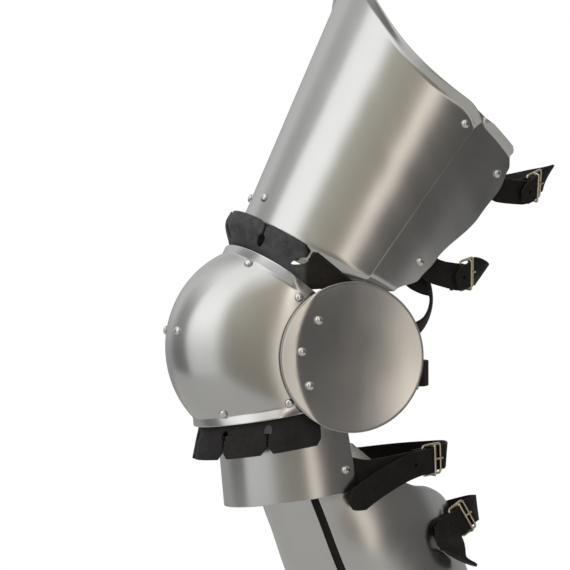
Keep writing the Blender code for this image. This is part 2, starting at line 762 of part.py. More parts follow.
def make_rivets():
    for name, turn in (("inner", -14), ("outer", 14)):
        surface_rivet("cuisse_rivet_" + name, thigh, turn, 0.112, ["cuisse_plate", "centre_leather"])
        surface_rivet("poleyn_rivet_" + name, poleyn, turn, 0.515, ["poleyn", "centre_leather"])
    surface_rivet("seam_rivet", thigh, 98.5, 0.252, ["cuisse_plate", "cuisse_side_plate"])
    for name, turn in BAND_RIVETS_UPPER:
        place = 0.0112 / dome_arc(math.radians(turn))
        surface_rivet("poleyn_rivet_" + name, poleyn, turn, place, ["poleyn", "upper_dagged_band"])
    for name, turn in BAND_RIVETS_LOWER:
        place = 1 - 0.0112 / dome_arc(math.radians(turn))
        surface_rivet("poleyn_rivet_" + name, poleyn, turn, place, ["poleyn", "lower_dagged_band"])
    for index, (ahead, rise) in enumerate(RONDEL_RIVETS, 1):
        place = rondel_surface(math.hypot(ahead, rise), math.atan2(rise, -ahead))
        rivet(f"rondel_rivet_{index}", place, Vector((1, 0, 0)), ["rondel", "poleyn"])
    inset = STEEL + LAP
    surface_rivet(
        "side_plate_rivet_upper", thigh, 124.0, 0.2330, ["cuisse_side_plate", "upper_thigh_holder"], -inset
    )
    surface_rivet(
        "side_plate_rivet_lower", thigh, 113.8, 0.1258, ["cuisse_side_plate", "lower_thigh_holder", "side_leather"], -inset
    )
    surface_rivet("lame_rivet_outer", lame, 103, 0.68, ["lower_lame", "lame_holder"])
    surface_rivet("lame_rivet_inner", lame, -103, 0.72, ["lower_lame", "lame_strap"])


# Straps and buckles


def ribbon(name, route, width, tip=0.0, seats=()):
    """A flat strap through a route of places, each with its outward direction, with a blunt or a pointed tip."""
    places = [place for place, _ in route]
    facings = [facing for _, facing in route]
    spans = [(after - before).length for before, after in zip(places, places[1:])]
    rows = [0.0]
    for index, span in enumerate(spans):
        parts = max(1, round(span / RIBBON_STEP))
        rows += [(index + (part + 1) / parts) / len(spans) for part in range(parts)]
    if tip:
        rows.insert(-1, 1 - tip / spans[-1] / len(spans))
        rows.insert(-1, 1 - tip / 3 / spans[-1] / len(spans))
        rows = sorted(row for row in rows if row == 1.0 or not 0.001 < abs(row - rows[-3]) < 0.3 / len(spans))

    def surface(across, along):
        middle = spline(places, along)
        ahead = spline(places, along + 0.3 / len(spans)) - spline(places, along - 0.3 / len(spans))
        side = ahead.cross(spline(facings, along)).normalized()
        left = (1 - along) * len(spans) * spans[-1]
        share = 1.0 if left >= tip else lerp(0.45, 1.0, (left / tip) ** 0.7)
        return middle + side * width * share * (across - 0.5)

    return sheet(name, surface, 1, rows, LEATHER, "leather", lambda place: Vector((0, 0, 1)), seats)


def placed(x, y, z, facing=None):
    place = Vector((x, y, z))
    return place, Vector(facing).normalized() if facing else from_axis(place)


def on_surface(surface, degrees, along, out):
    turn = math.radians(degrees)
    return surface(turn, along, out), normal_of(surface, turn, along)


def on_thigh(degrees, along, out):
    return on_surface(thigh, degrees, along, out)


def on_shank(degrees, along, out):
    return on_surface(shank, degrees, along, out)


def on_poleyn(degrees, along, out):
    return on_surface(poleyn, degrees, along, out)


def on_lame(degrees, along, out):
    return on_surface(lame, degrees, along, out)


LAYER = BUCKLE_WIRE + GAP + LEATHER / 2
OVER = LAYER + LEATHER + GAP
PIVOT_BAR = -0.0085
KEEPER_BAR = 0.0010
REST_BAR = PIVOT_BAR + BUCKLE_LENGTH


def wire(name, points, radius, closed, sides, kind):
    curve = bpy.data.curves.new(name, "CURVE")
    curve.dimensions = "3D"
    curve.bevel_depth = radius
    curve.bevel_resolution = sides // 2 - 2
    curve.use_fill_caps = True
    line = curve.splines.new("POLY")
    line.points.add(len(points) - 1)
    for point, place in zip(line.points, points):
        point.co = (*place, 1)
    line.use_cyclic_u = closed
    item = bpy.data.objects.new(name, curve)
    harness.objects.link(item)
    item.parent = knee
    finish(item, kind)
    return item


def made_mesh(item, collection):
    """A curve as a mesh object of the same name, its caps welded."""
    bpy.context.view_layer.update()
    graph = bpy.context.evaluated_depsgraph_get()
    mesh = bpy.data.meshes.new_from_object(item.evaluated_get(graph))
    shape = bmesh.new()
    shape.from_mesh(mesh)
    bmesh.ops.remove_doubles(shape, verts=shape.verts, dist=0.00001)
    shape.to_mesh(mesh)
    shape.free()
    mesh.shade_smooth()
    name, matrix = item.name, item.matrix_world.copy()
    bpy.data.objects.remove(item)
    result = bpy.data.objects.new(name, mesh)
    collection.objects.link(result)
    result.matrix_world = matrix
    return result


def make_buckle(name, matrix):
    """A wire frame with a raised keeper bar, and a tongue that turns on its first bar."""
    half = BUCKLE_WIDTH / 2
    cut = 0.0009
    frame_points = [
        (PIVOT_BAR, -half + cut, 0),
        (PIVOT_BAR + cut, -half, 0),
        (REST_BAR - cut, -half, 0),
        (REST_BAR, -half + cut, 0),
        (REST_BAR, half - cut, 0),
        (REST_BAR - cut, half, 0),
        (PIVOT_BAR + cut, half, 0),
        (PIVOT_BAR, half - cut, 0),
    ]
    frame = made_mesh(wire(name + "_buckle", frame_points, BUCKLE_WIRE, True, 6, "brass"), harness)
    rise = OVER + 0.0011
    bar_points = [
        (KEEPER_BAR, -half, 0),
        (KEEPER_BAR, -half, rise - 0.0013),
        (KEEPER_BAR, -half + 0.0012, rise),
        (KEEPER_BAR, half - 0.0012, rise),
        (KEEPER_BAR, half, rise - 0.0013),
        (KEEPER_BAR, half, 0),
    ]
    bar = made_mesh(wire(name + "_keeper_bar", bar_points, BUCKLE_WIRE * 0.93, False, 6, "brass"), cutters)
    for item in (frame, bar):
        item.parent = knee
        item.matrix_world = matrix
    bar.hide_render = True
    bar.display_type = "WIRE"
    joined = frame.modifiers.new("keeper_bar", "BOOLEAN")
    joined.operation = "UNION"
    joined.solver = "EXACT"
    joined.object = bar
    ring = BUCKLE_WIRE + GAP + TONGUE_WIRE
    turns = [math.radians(degrees) for degrees in (-70, -115, -160, 155, 110, 70)]
    tongue_points = [(PIVOT_BAR + ring * math.cos(turn), 0, ring * math.sin(turn)) for turn in turns]
    tongue_points += [
        (PIVOT_BAR + 0.0032, 0, 0.0015),
        (KEEPER_BAR, 0, 0.0011),
        (KEEPER_BAR + 0.0045, 0, 0.0014),
        (REST_BAR - 0.002, 0, ring),
        (REST_BAR + 0.0012, 0, ring),
    ]
    tongue = made_mesh(wire(name + "_tongue", tongue_points, TONGUE_WIRE, False, 4, "brass"), harness)
    tongue.parent = knee
    tongue.matrix_world = matrix


def buckled_strap(name, origin, out, ahead, holder_route, strap_route, tail_route, seats):
    """The holder ends folded round the buckle's first bar. The strap passes through and over it, to its tip.

    A place of a route is either a pair of vectors or a pair of numbers: ahead of the buckle and above it."""
    ahead = Vector(ahead).normalized()
    side = out.cross(ahead).normalized()
    out = ahead.cross(side).normalized()
    matrix = Matrix.Translation(origin) @ Matrix((ahead, side, out)).transposed().to_4x4()

    def local(u, w):
        return matrix @ Vector((u, 0, w)), out

    def routed(route):
        return [local(*place) if isinstance(place[0], float) else place for place in route]

    holder = routed(holder_route) + [local(PIVOT_BAR - 0.006, LAYER)]
    for degrees in (90, 45, 0, -45, -90):
        turn = math.radians(degrees)
        around = Vector((math.cos(turn), 0, math.sin(turn)))
        holder.append((matrix @ (Vector((PIVOT_BAR, 0, 0)) + around * LAYER), matrix.to_3x3() @ around))
    holder.append((matrix @ Vector((PIVOT_BAR - 0.006, 0, -LAYER)), -out))
    holder.append((matrix @ Vector((PIVOT_BAR - 0.011, 0, -LAYER)), -out))
    ribbon(name + "_holder", holder, STRAP_WIDTH, seats=seats)
    strap = routed(strap_route) + [
        local(REST_BAR + 0.008, -LAYER),
        local(REST_BAR, -LAYER),
        local(REST_BAR - 0.0035, -0.0018),
        local(REST_BAR - 0.0065, 0.0010),
        local(KEEPER_BAR + 0.0022, 0.0030),
        local(KEEPER_BAR, 0.0036),
        local(KEEPER_BAR - 0.0045, 0.0049),
        local(PIVOT_BAR, OVER),
        local(PIVOT_BAR - 0.007, OVER),
    ]
    ribbon(name + "_strap", strap + routed(tail_route), STRAP_WIDTH, 0.010, seats)
    make_buckle(name, matrix)
    turned = matrix.to_3x3().to_4x4()
    play = (TONGUE_WIRE + GAP) * 2
    fold_slot = matrix @ Vector((PIVOT_BAR + 0.001, 0, 0))
    box_cut(name + "_holder", Matrix.Translation(fold_slot) @ turned, (0.0098, play, 0.0098))
    strap_slot = matrix @ Vector((KEEPER_BAR + 0.0045, 0, 0.0014))
    box_cut(name + "_strap", Matrix.Translation(strap_slot) @ turned, (0.0100, play, 0.0030))


SIDE_SEAT = -SEAT - STEEL - LAP
CUISSE_SEATS = [("cuisse_side_plate", -1), ("cuisse_plate", -1)]
CALF_SEATS = [("greave_calf_outer", 1), ("greave_calf_inner", 1)]


def make_thigh_straps():
    origin, out = placed(0.045, 0.226, 0.155)
    buckled_strap(
        "upper_thigh",
        origin,
        out,
        (-0.40, 0.86, 0.33),
        [
            on_thigh(116, 0.227, SIDE_SEAT),
            on_thigh(122, 0.226, SIDE_SEAT),
            on_thigh(128, 0.225, SIDE_SEAT - 0.0008),
            on_thigh(133, 0.224, SIDE_SEAT - 0.0012),
        ],
        [
            on_thigh(292, 0.182, -SEAT),
            on_thigh(285, 0.188, -SEAT),
            on_thigh(278, 0.194, -SEAT),
            on_thigh(266, 0.204, -0.002),
            on_thigh(245, 0.222, 0.0),
            on_thigh(215, 0.245, 0.0),
            on_thigh(190, 0.268, 0.0),
            on_thigh(168, 0.270, 0.0),
        ],
        [(PIVOT_BAR - 0.0140, OVER + 0.0002)],
        CUISSE_SEATS,
    )
    origin, out = placed(0.047, 0.158, 0.074)
    buckled_strap(
        "lower_thigh",
        origin,
        out,
        (-0.50, 0.80, 0.20),
        [
            on_thigh(109, 0.126, SIDE_SEAT),
            on_thigh(115, 0.1265, SIDE_SEAT),
            on_thigh(121, 0.1275, SIDE_SEAT - 0.0008),
            on_thigh(125.5, 0.1275, SIDE_SEAT - 0.0012),
        ],
        [
            on_thigh(292, 0.110, -SEAT),
            on_thigh(285, 0.113, -SEAT),
            on_thigh(278, 0.117, -SEAT),
            on_thigh(266, 0.124, -0.002),
            on_thigh(240, 0.138, 0.0),
            on_thigh(210, 0.150, 0.0),
            on_thigh(180, 0.157, 0.0),
            on_thigh(165, 0.157, 0.0),
        ],
        [(PIVOT_BAR - 0.0140, OVER + 0.0002)],
        CUISSE_SEATS,
    )


def make_knee_strap():
    origin, out = placed(0.0535, 0.098, -0.0165)
    buckled_strap(
        "knee",
        origin,
        out,
        (-0.26, 0.965, 0.0),
        [
            on_poleyn(104, 0.65, -SEAT),
            on_poleyn(111, 0.65, -SEAT - 0.0004),
            on_poleyn(118, 0.65, -SEAT - 0.0012),
            placed(0.0560, 0.050, -0.0160, (1, 0, 0)),
            (PIVOT_BAR - 0.018, LAYER),
        ],
        [
            on_poleyn(-104, 0.65, -SEAT),
            on_poleyn(-111, 0.65, -SEAT - 0.0004),
            on_poleyn(-118, 0.65, -SEAT - 0.0012),
            placed(-0.0560, 0.052, -0.016, (-1, 0, 0)),
            placed(-0.0575, 0.080, -0.016),
            placed(-0.052, 0.106, -0.016),
            placed(-0.034, 0.125, -0.016),
            placed(0.0, 0.133, -0.016),
            placed(0.032, 0.127, -0.016),
        ],
        [(PIVOT_BAR - 0.0160, OVER)],
        [("poleyn", -1)],
    )


def make_lame_strap():
    origin, out = placed(0.050, 0.122, -0.0945)
    buckled_strap(
        "lame",
        origin,
        out,
        (-0.30, 0.93, 0.12),
        [
            on_lame(96, 0.70, -SEAT),
            on_lame(102, 0.70, -SEAT),
            on_lame(108, 0.70, -SEAT - 0.0016),
            placed(0.0553, 0.058, -0.1045, (1, 0.2, 0)),
            placed(0.0590, 0.084, -0.1005),
        ],
        [
            on_lame(-96, 0.70, -SEAT),
            on_lame(-102, 0.70, -SEAT),
            on_lame(-108, 0.70, -SEAT - 0.0016),
            placed(-0.0554, 0.060, -0.103, (-1, 0.2, 0)),
            placed(-0.056, 0.094, -0.100),
            placed(-0.042, 0.126, -0.096),
            placed(-0.018, 0.148, -0.093),
            placed(0.010, 0.152, -0.091),
        ],
        [
            placed(0.0640, 0.088, -0.1035, (1, 0.20, 0)),
            placed(0.0680, 0.060, -0.1180, (1, 0.12, 0)),
            placed(0.0685, 0.038, -0.1335, (1, 0.06, 0)),
        ],
        [("lower_lame", -1), *CALF_SEATS],
    )


def make_greave_straps():
    buckled_strap(
        "greave_upper",
        Vector((0.033, 0.160, -0.151)),
        Vector((0.856, 0.315, 0.269)),
        (-0.42, 0.80, 0.40),
        [on_shank(123, 0.196, SEAT + 0.0004), on_shank(129, 0.196, SEAT + 0.0004), (PIVOT_BAR - 0.012, LAYER)],
        [
            on_shank(240, 0.197, SEAT),
            on_shank(228, 0.198, SEAT),
            on_shank(212, 0.199, SEAT + 0.003),
            placed(-0.012, 0.184, -0.145),
            placed(0.006, 0.187, -0.143, (0.5, 0.8, 0.1)),
        ],
        [
            placed(0.0545, 0.1365, -0.160, (0.90, 0.10, 0.25)),
            placed(0.0620, 0.1390, -0.172, (0.80, -0.58, -0.10)),
            placed(0.0570, 0.1460, -0.182, (0.20, -0.65, -0.72)),
            placed(0.0490, 0.1660, -0.192, (0.15, -0.60, -0.78)),
        ],
        CALF_SEATS,
    )
    turn = math.radians(170)
    origin = shank(turn, 0.376, 0.0055)
    buckled_strap(
        "greave_lower",
        origin,
        normal_of(shank, turn, 0.376),
        shank(turn + 0.02, 0.376) - shank(turn - 0.02, 0.376),
        [
            on_shank(112, 0.376, SEAT + 0.0003),
            on_shank(124, 0.376, SEAT + 0.0006),
            on_shank(136, 0.376, SEAT + 0.0025),
        ],
        [
            on_shank(250, 0.376, SEAT + 0.0004),
            on_shank(238, 0.376, SEAT + 0.0004),
            on_shank(226, 0.376, SEAT + 0.0004),
            on_shank(212, 0.376, SEAT + 0.0010),
        ],
        [(PIVOT_BAR - 0.0160, OVER + 0.0004)],
        CALF_SEATS,
    )


def make_side_leather():
    """The leather behind the rondel that joins the cuisse's side plate to the wing of the poleyn."""
    under = SIDE_SEAT - LEATHER - GAP - 0.0008
    route = [
        on_thigh(113, 0.133, under),
        on_thigh(115, 0.123, under - 0.0006),
        on_thigh(118, 0.113, under - 0.002),
        placed(0.0508, 0.1205, 0.061, (0.50, 0.86, 0.05)),
        placed(0.0505, 0.1225, 0.045, (0.45, 0.86, -0.25)),
        placed(0.0520, 0.1130, 0.028, (0.55, 0.68, -0.48)),
        placed(0.0550, 0.090, 0.017, (0.85, 0.30, -0.43)),
        placed(0.0545, 0.062, 0.012, (0.98, 0.15, -0.10)),
        on_poleyn(118, 0.33, -SEAT - 0.0012),
        on_poleyn(112, 0.33, -SEAT - 0.0004),
        on_poleyn(105, 0.33, -SEAT),
    ]
    ribbon("side_leather", route, 0.020, seats=[("poleyn", -1)])


make_cuisse()
make_side_plate()
make_poleyn()
make_rondel()
make_lame()
make_greave()
make_upper_band()
make_lower_band()
make_centre_leather()
make_greave_hinge("greave_hinge_outer", 1)
make_greave_hinge("greave_hinge_inner", -1)
make_thigh_straps()
make_knee_strap()
make_lame_strap()
make_greave_straps()
make_side_leather()
make_rivets()
cut_holes()
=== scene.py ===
"""The leg harness as it looks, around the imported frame: steel, dark leather, brass buckles, bright rivets.

Metres, +Z up, +X to the outer side of the leg, +Y to the back. The origin is the centre of the knee.
"""

import math

import bpy
from mathutils import Matrix, Vector, geometry
from mathutils.bvhtree import BVHTree
from mathutils.kdtree import KDTree


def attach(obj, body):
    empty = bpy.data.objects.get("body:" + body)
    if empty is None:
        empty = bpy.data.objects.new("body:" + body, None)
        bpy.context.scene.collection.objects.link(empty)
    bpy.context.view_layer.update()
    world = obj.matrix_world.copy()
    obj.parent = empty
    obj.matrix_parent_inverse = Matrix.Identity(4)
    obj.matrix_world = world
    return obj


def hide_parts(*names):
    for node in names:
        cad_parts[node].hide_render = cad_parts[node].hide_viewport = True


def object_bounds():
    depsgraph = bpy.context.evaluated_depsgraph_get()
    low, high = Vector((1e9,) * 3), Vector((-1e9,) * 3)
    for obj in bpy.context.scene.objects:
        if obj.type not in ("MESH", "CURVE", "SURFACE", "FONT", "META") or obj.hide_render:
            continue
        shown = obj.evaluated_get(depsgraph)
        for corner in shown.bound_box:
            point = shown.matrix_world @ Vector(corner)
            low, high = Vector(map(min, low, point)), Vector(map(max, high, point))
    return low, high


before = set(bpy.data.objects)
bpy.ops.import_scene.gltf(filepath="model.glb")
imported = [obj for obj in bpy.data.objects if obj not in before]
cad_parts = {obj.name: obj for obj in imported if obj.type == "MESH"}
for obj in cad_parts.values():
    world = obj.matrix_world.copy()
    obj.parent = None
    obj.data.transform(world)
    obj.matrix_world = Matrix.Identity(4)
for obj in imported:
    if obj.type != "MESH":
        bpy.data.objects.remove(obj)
cad_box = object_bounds()

# Plates, leather and the play between pieces
STEEL = 0.0014
LEATHER = 0.0022
GAP = 0.0004
LAP = 0.0011
FLANGE = 0.008
FLANGE_FLARE = 0.005

# Thigh: tilt of its axis from upright, and the half sizes of the cuisse at the knee and at its top
THIGH_TILT = math.radians(29.4)
CUISSE_LENGTH = 0.337
CUISSE_HALF_WIDTH = 0.066
CUISSE_TOP_HALF_WIDTH = 0.093
CUISSE_DEPTH = 0.0855
CUISSE_TOP_DEPTH = 0.115
CUISSE_BACK_RATIO = 1.30
CUISSE_FOOT = 0.070
CUISSE_CORNER = 0.06
CUISSE_OUTER_DROP = 0.009
CUISSE_INNER_DROP = 0.012
CUISSE_CORNER_LIFT = 0.008
CUISSE_DRAW_IN = 0.0035
CUISSE_SIDE_DRAW_IN = 0.0075
CUISSE_DRAW_IN_TOP = 0.090
CUISSE_DRAW_IN_LENGTH = 0.018
CUISSE_FLANGE_ROW = 0.97
CUISSE_INNER_TURN = math.radians(-78)
CUISSE_SIDE_TOP = 0.269
CUISSE_INNER_TOP = 0.215
CUISSE_PEAK_TURN = math.radians(50)
CUISSE_INNER_PEAK_TURN = math.radians(62)
SEAM_FOOT_TURN = math.radians(95.3)
SEAM_TOP_TURN = math.radians(103.3)
SEAM_OVERLAP_TURN = math.radians(9)
SIDE_PLATE_FOOT = 0.070
SIDE_PLATE_TURN = math.radians(130.5)
SIDE_PLATE_SLOPE = 0.010
SIDE_PLATE_FRONT_DROP = 0.018
SIDE_PLATE_DRAW_IN = 0.0084
SIDE_PLATE_DRAW_IN_TOP = 0.094
SIDE_PLATE_FLANGE_ROW = 0.95

# Knee: the dome's profile is an arc, cut by an upper and a lower rim that both tilt
DOME_RADIUS = 0.0915
DOME_BACK = -0.020
DOME_RISE = 0.009
POLEYN_HALF_WIDTH = 0.068
POLEYN_SIDE_BACK = -0.002
POLEYN_WING_DEPTH = 0.080
POLEYN_WRAP = math.radians(120)
UPPER_RIM_TILT = math.radians(36.8)
UPPER_RIM_BACK = 0.0245
UPPER_RIM_HEIGHT = 0.0436
LOWER_RIM_TILT = math.radians(10)
LOWER_RIM_BACK = 0.005
LOWER_RIM_HEIGHT = -0.048
POLEYN_FLARE = 0.0065
POLEYN_RIM_WIDTH = 0.955
POLEYN_WING_CUT = 0.16
POLEYN_RIM_ROW = 0.1

# Rondel: a shallow dish on the outer side of the knee
RONDEL_RADIUS = 0.0675
RONDEL_SIDE = 0.0692
RONDEL_BACK = 0.038
RONDEL_DISH = 0.0060
RONDEL_BEND = math.radians(15)
RONDEL_BEND_AT = 0.052
RONDEL_BEND_CURVE = 0.024

# Lower lame
LAME_TILT = math.radians(9)
LAME_BACK = 0.022
LAME_FOOT_HEIGHT = -0.124
LAME_LENGTH = 0.064
LAME_HALF_WIDTH = 0.0622
LAME_DEPTH = 0.078
LAME_TOP_DEPTH = 0.074
LAME_WRAP = math.radians(110)
LAME_CORNER = 0.06

# Shank: tilt of its axis from upright, and the greave's lengths along it, measured from the knee
SHANK_TILT = math.radians(23)
SHANK_BACK = 0.012
GREAVE_FOOT = 0.430
GREAVE_HALF_WIDTH = 0.0570
GREAVE_DEPTH = 0.0850
GREAVE_BACK_DEPTH = 0.0790
GREAVE_FRONT_TOP = 0.088
GREAVE_SIDE_TOP = 0.084
GREAVE_BACK_TOP = 0.186
GREAVE_HINGE_TURN = math.radians(53)
GREAVE_HINGE_WIDTH = 0.0065
GREAVE_BACK_WIDTH = 0.016

# Straps, buckles and rivets
STRAP_WIDTH = 0.023
BUCKLE_LENGTH = 0.0210
BUCKLE_WIDTH = 0.0276
BUCKLE_WIRE = 0.0011
TONGUE_WIRE = 0.0009
RIVET_RADIUS = 0.0040
RIVET_HEIGHT = 0.0026
RIVET_SHANK = 0.0014
RIVET_TAIL = 0.0026
RIVET_TAIL_HEIGHT = 0.0010
RIM_RIVET_INSET = 0.0112

# Distance between the middles of a plate and its leather, and how near the plate, beside and over it, it holds
SEAT = STEEL / 2 + GAP + LEATHER / 2
SEAT_REACH = 0.0008
SEAT_HEIGHT = 0.006

# How far out of its place a rivet starts to look for the pieces it holds, and how deep it looks
GRIP_START = 0.006
GRIP_DEPTH = 0.018

# Fineness of the visual pieces
EDGE_ROUND = 0.0004
ACROSS_STEP = 1 / 110
ALONG_STEP = 1 / 80
RIBBON_STEP = 0.0023
BAND_STEP = 0.0020
BAND_RADIUS = 0.078
TAB_CHAMFER = 0.0045
HOLE_RADIUS = 0.0017
SLOT_WIDTH = 0.0026
BUCKLE_ROUND = 0.0026
KEEPER_BEND = 0.0014
HOLDER_SLOT = 0.0098
STRAP_SLOT = 0.0100
STRAP_POINT = 0.010
SIDE_LEATHER_WIDTH = 0.020
RONDEL_RINGS = 26
RONDEL_STEPS = 144
NOISE_LOW = 0.3
NOISE_HIGH = 0.7
STEEL_ROUGHNESS = 0.22
# Places along Y, towards the front of the leg, where the band leather's painted sheen is full and where it
# ends
BAND_SHEEN_FULL = -0.006
BAND_SHEEN_END = -0.001

# Camera: the turn of its view from the front of the leg, its distance, and the width it sees at the knee
CAMERA_TURN = math.radians(70.5)
CAMERA_DISTANCE = 2.5
PHOTO_PIXELS = 570
METRES_PER_PIXEL = 0.0009117
CAMERA_VIEW = PHOTO_PIXELS * METRES_PER_PIXEL
SENSOR_WIDTH = 36
CAMERA_TARGET = Vector((0, 0, 0.0643))
FLOOR_SIZE = 2.4
FLOOR_GAP = 0.001

# The studio. Walls and ceiling: share of the way round, from behind the object over its front and the camera.
# Heights: share of the way up from straight below.
STUDIO_WALLS = [
    (0.000, (0.55, 0.55, 0.55)),
    (0.150, (0.68, 0.68, 0.68)),
    (0.215, (0.34, 0.34, 0.34)),
    (0.288, (0.33, 0.33, 0.33)),
    (0.310, (1.25, 1.25, 1.25)),
    (0.410, (1.30, 1.30, 1.30)),
    (0.445, (0.47, 0.46, 0.39)),
    (0.525, (0.45, 0.41, 0.34)),
    (0.545, (0.47, 0.43, 0.36)),
    (0.556, (1.90, 1.74, 1.54)),
    (0.571, (1.80, 1.64, 1.46)),
    (0.590, (0.34, 0.32, 0.29)),
    (0.612, (0.19, 0.18, 0.17)),
    (0.740, (0.15, 0.15, 0.147)),
    (0.790, (0.34, 0.34, 0.34)),
    (1.000, (0.55, 0.55, 0.55)),
]
STUDIO_HEIGHTS = [
    (0.00, (0.45, 0.45, 0.45)),
    (0.27, (0.48, 0.48, 0.48)),
    (0.47, (0.58, 0.58, 0.58)),
    (0.66, (1.00, 1.00, 1.00)),
    (1.00, (1.05, 1.05, 1.05)),
]
STUDIO_CEILING = [
    (0.00, (0.40, 0.40, 0.40)),
    (0.30, (1.10, 1.10, 1.10)),
    (0.52, (1.10, 1.10, 1.08)),
    (0.57, (0.34, 0.33, 0.31)),
    (1.00, (0.40, 0.40, 0.40)),
]
OVERHEAD_START = 0.45
OVERHEAD_FULL = 0.85

trees = {}
thicknesses = {}
materials = {}


def lerp(low, high, share):
    return low + (high - low) * share


def smooth(share):
    share = min(max(share, 0.0), 1.0)
    return share * share * (3 - 2 * share)


def table_value(rows, place):
    """A smooth value between the rows (place, value) of a short table."""
    if place <= rows[0][0]:
        return rows[0][1]
    for (low, before), (high, after) in zip(rows, rows[1:]):
        if place <= high:
            return lerp(before, after, smooth((place - low) / (high - low)))
    return rows[-1][1]


def spline(points, share):
    """A point on the smooth curve through all of these points."""
    place = min(max(share, 0.0), 1.0) * (len(points) - 1)
    index = min(int(place), len(points) - 2)
    part = place - index
    start = points[index]
    end = points[index + 1]
    before = points[index - 1] if index > 0 else start * 2 - end
    after = points[index + 2] if index + 2 < len(points) else end * 2 - start
    return 0.5 * (
        start * 2
        + (end - before) * part
        + (before * 2 - start * 5 + end * 4 - after) * part**2
        + (start * 3 - before - end * 3 + after) * part**3
    )


# Materials


def new_material(name, colour, metallic, roughness):
    material = bpy.data.materials.new(name)
    material.use_nodes = True
    shader = material.node_tree.nodes["Principled BSDF"]
    shader.inputs["Base Color"].default_value = (*colour, 1)
    shader.inputs["Metallic"].default_value = metallic
    shader.inputs["Roughness"].default_value = roughness
    materials[name] = material
    return material.node_tree, shader


def noise_field(tree, fineness, detail, turn=0.0, stretch=1.0):
    """Noise in the object's own space, stretched along a limb's axis at this turn."""
    place = tree.nodes.new("ShaderNodeTexCoord")
    mapping = tree.nodes.new("ShaderNodeMapping")
    mapping.vector_type = "TEXTURE"
    mapping.inputs["Rotation"].default_value = (turn, 0, 0)
    mapping.inputs["Scale"].default_value = (1, 1, 1 / stretch)
    field = tree.nodes.new("ShaderNodeTexNoise")
    field.inputs["Scale"].default_value = fineness
    field.inputs["Detail"].default_value = detail
    tree.links.new(place.outputs["Object"], mapping.inputs["Vector"])
    tree.links.new(mapping.outputs["Vector"], field.inputs["Vector"])
    return field.outputs["Fac"]


def ranged(tree, value, low, high, start=NOISE_LOW, end=NOISE_HIGH):
    node = tree.nodes.new("ShaderNodeMapRange")
    node.inputs["From Min"].default_value = start
    node.inputs["From Max"].default_value = end
    node.inputs["To Min"].default_value = low
    node.inputs["To Max"].default_value = high
    tree.links.new(value, node.inputs["Value"])
    return node.outputs["Result"]


def ramped(tree, value, stops):
    """A colour by a value, through rows (place, colour)."""
    node = tree.nodes.new("ShaderNodeValToRGB")
    ramp = node.color_ramp.elements
    while len(ramp) < len(stops):
        ramp.new(0.5)
    for element, (place, colour) in zip(ramp, stops):
        element.position = place
        element.color = (*colour, 1)
    tree.links.new(value, node.inputs["Fac"])
    return node.outputs["Color"]


def tinted(tree, value, first, second):
    """A colour between two, by a noise value."""
    return ramped(tree, value, [(NOISE_LOW, first), (NOISE_HIGH, second)])


def mixed(tree, share, first, second, blend="MIX"):
    """Two colours blended by a share, which is a number or another node's value."""
    node = tree.nodes.new("ShaderNodeMix")
    node.data_type = "RGBA"
    node.blend_type = blend
    if isinstance(share, float):
        node.inputs["Factor"].default_value = share
    else:
        tree.links.new(share, node.inputs["Factor"])
    tree.links.new(first, node.inputs["A"])
    tree.links.new(second, node.inputs["B"])
    return node.outputs["Result"]


def bumped(tree, value, depth, before=None):
    node = tree.nodes.new("ShaderNodeBump")
    node.inputs["Strength"].default_value = 1.0
    node.inputs["Distance"].default_value = depth
    tree.links.new(value, node.inputs["Height"])
    if before:
        tree.links.new(before, node.inputs["Normal"])
    return node.outputs["Normal"]


def feed(tree, shader, colour=None, roughness=None, normal=None):
    for value, name in ((colour, "Base Color"), (roughness, "Roughness"), (normal, "Normal")):
        if value:
            tree.links.new(value, shader.inputs[name])


def add_steel(name, turn, stretch):
    """Hand-finished steel: soft waves and fine brushing that run along the limb."""
    tree, shader = new_material(name, (0.66, 0.65, 0.63), 1.0, 0.3)
    waves = noise_field(tree, 16, 1.0, turn, stretch)
    smears = noise_field(tree, 55, 3.0, turn, stretch * 0.5)
    brushing = noise_field(tree, 600, 2.0, turn, stretch * 0.12)
    colour = tinted(tree, smears, (0.64, 0.64, 0.63), (0.665, 0.66, 0.65))
    roughness = ranged(tree, smears, STEEL_ROUGHNESS - 0.01, STEEL_ROUGHNESS + 0.02)
    normal = bumped(tree, brushing, 0.0000025, bumped(tree, waves, 0.0008))
    feed(tree, shader, colour, roughness, normal)


def add_leather(name, first, second, roughness):
    """Oiled leather: fine grain, soft creases and a worn tone in patches."""
    tree, shader = new_material(name, first, 0.0, roughness)
    patches = noise_field(tree, 70, 4.0)
    creases = noise_field(tree, 260, 5.0)
    grain = tree.nodes.new("ShaderNodeTexVoronoi")
    grain.inputs["Scale"].default_value = 1100
    place = tree.nodes.new("ShaderNodeTexCoord")
    tree.links.new(place.outputs["Object"], grain.inputs["Vector"])
    colour = tinted(tree, patches, first, second)
    normal = bumped(tree, grain.outputs["Distance"], 0.0001, bumped(tree, creases, 0.0004))
    feed(tree, shader, colour, ranged(tree, creases, roughness - 0.08, roughness + 0.1), normal)
    shader.inputs["Specular IOR Level"].default_value = 0.3
    return tree, shader, colour


def add_band_leather():
    """The same leather, with a painted sheen: lighter and blue grey at the front of the leg, where the front
    light falls.
    """
    tree, shader, dark = add_leather("band", (0.014, 0.011, 0.009), (0.021, 0.016, 0.013), 0.62)
    # Painted sheen: a lighter blue grey laid over the band leather at the front of the leg, standing in for
    # reflected front light
    painted_sheen = tinted(tree, noise_field(tree, 150, 5.0), (0.058, 0.057, 0.062), (0.105, 0.103, 0.112))
    place = tree.nodes.new("ShaderNodeTexCoord")
    split = tree.nodes.new("ShaderNodeSeparateXYZ")
    tree.links.new(place.outputs["Object"], split.inputs["Vector"])
    # Share of the painted sheen: full at the front of the leg, none towards the sides
    share = ranged(tree, split.outputs["Y"], 1.0, 0.0, BAND_SHEEN_FULL, BAND_SHEEN_END)
    feed(tree, shader, mixed(tree, share, dark, painted_sheen))


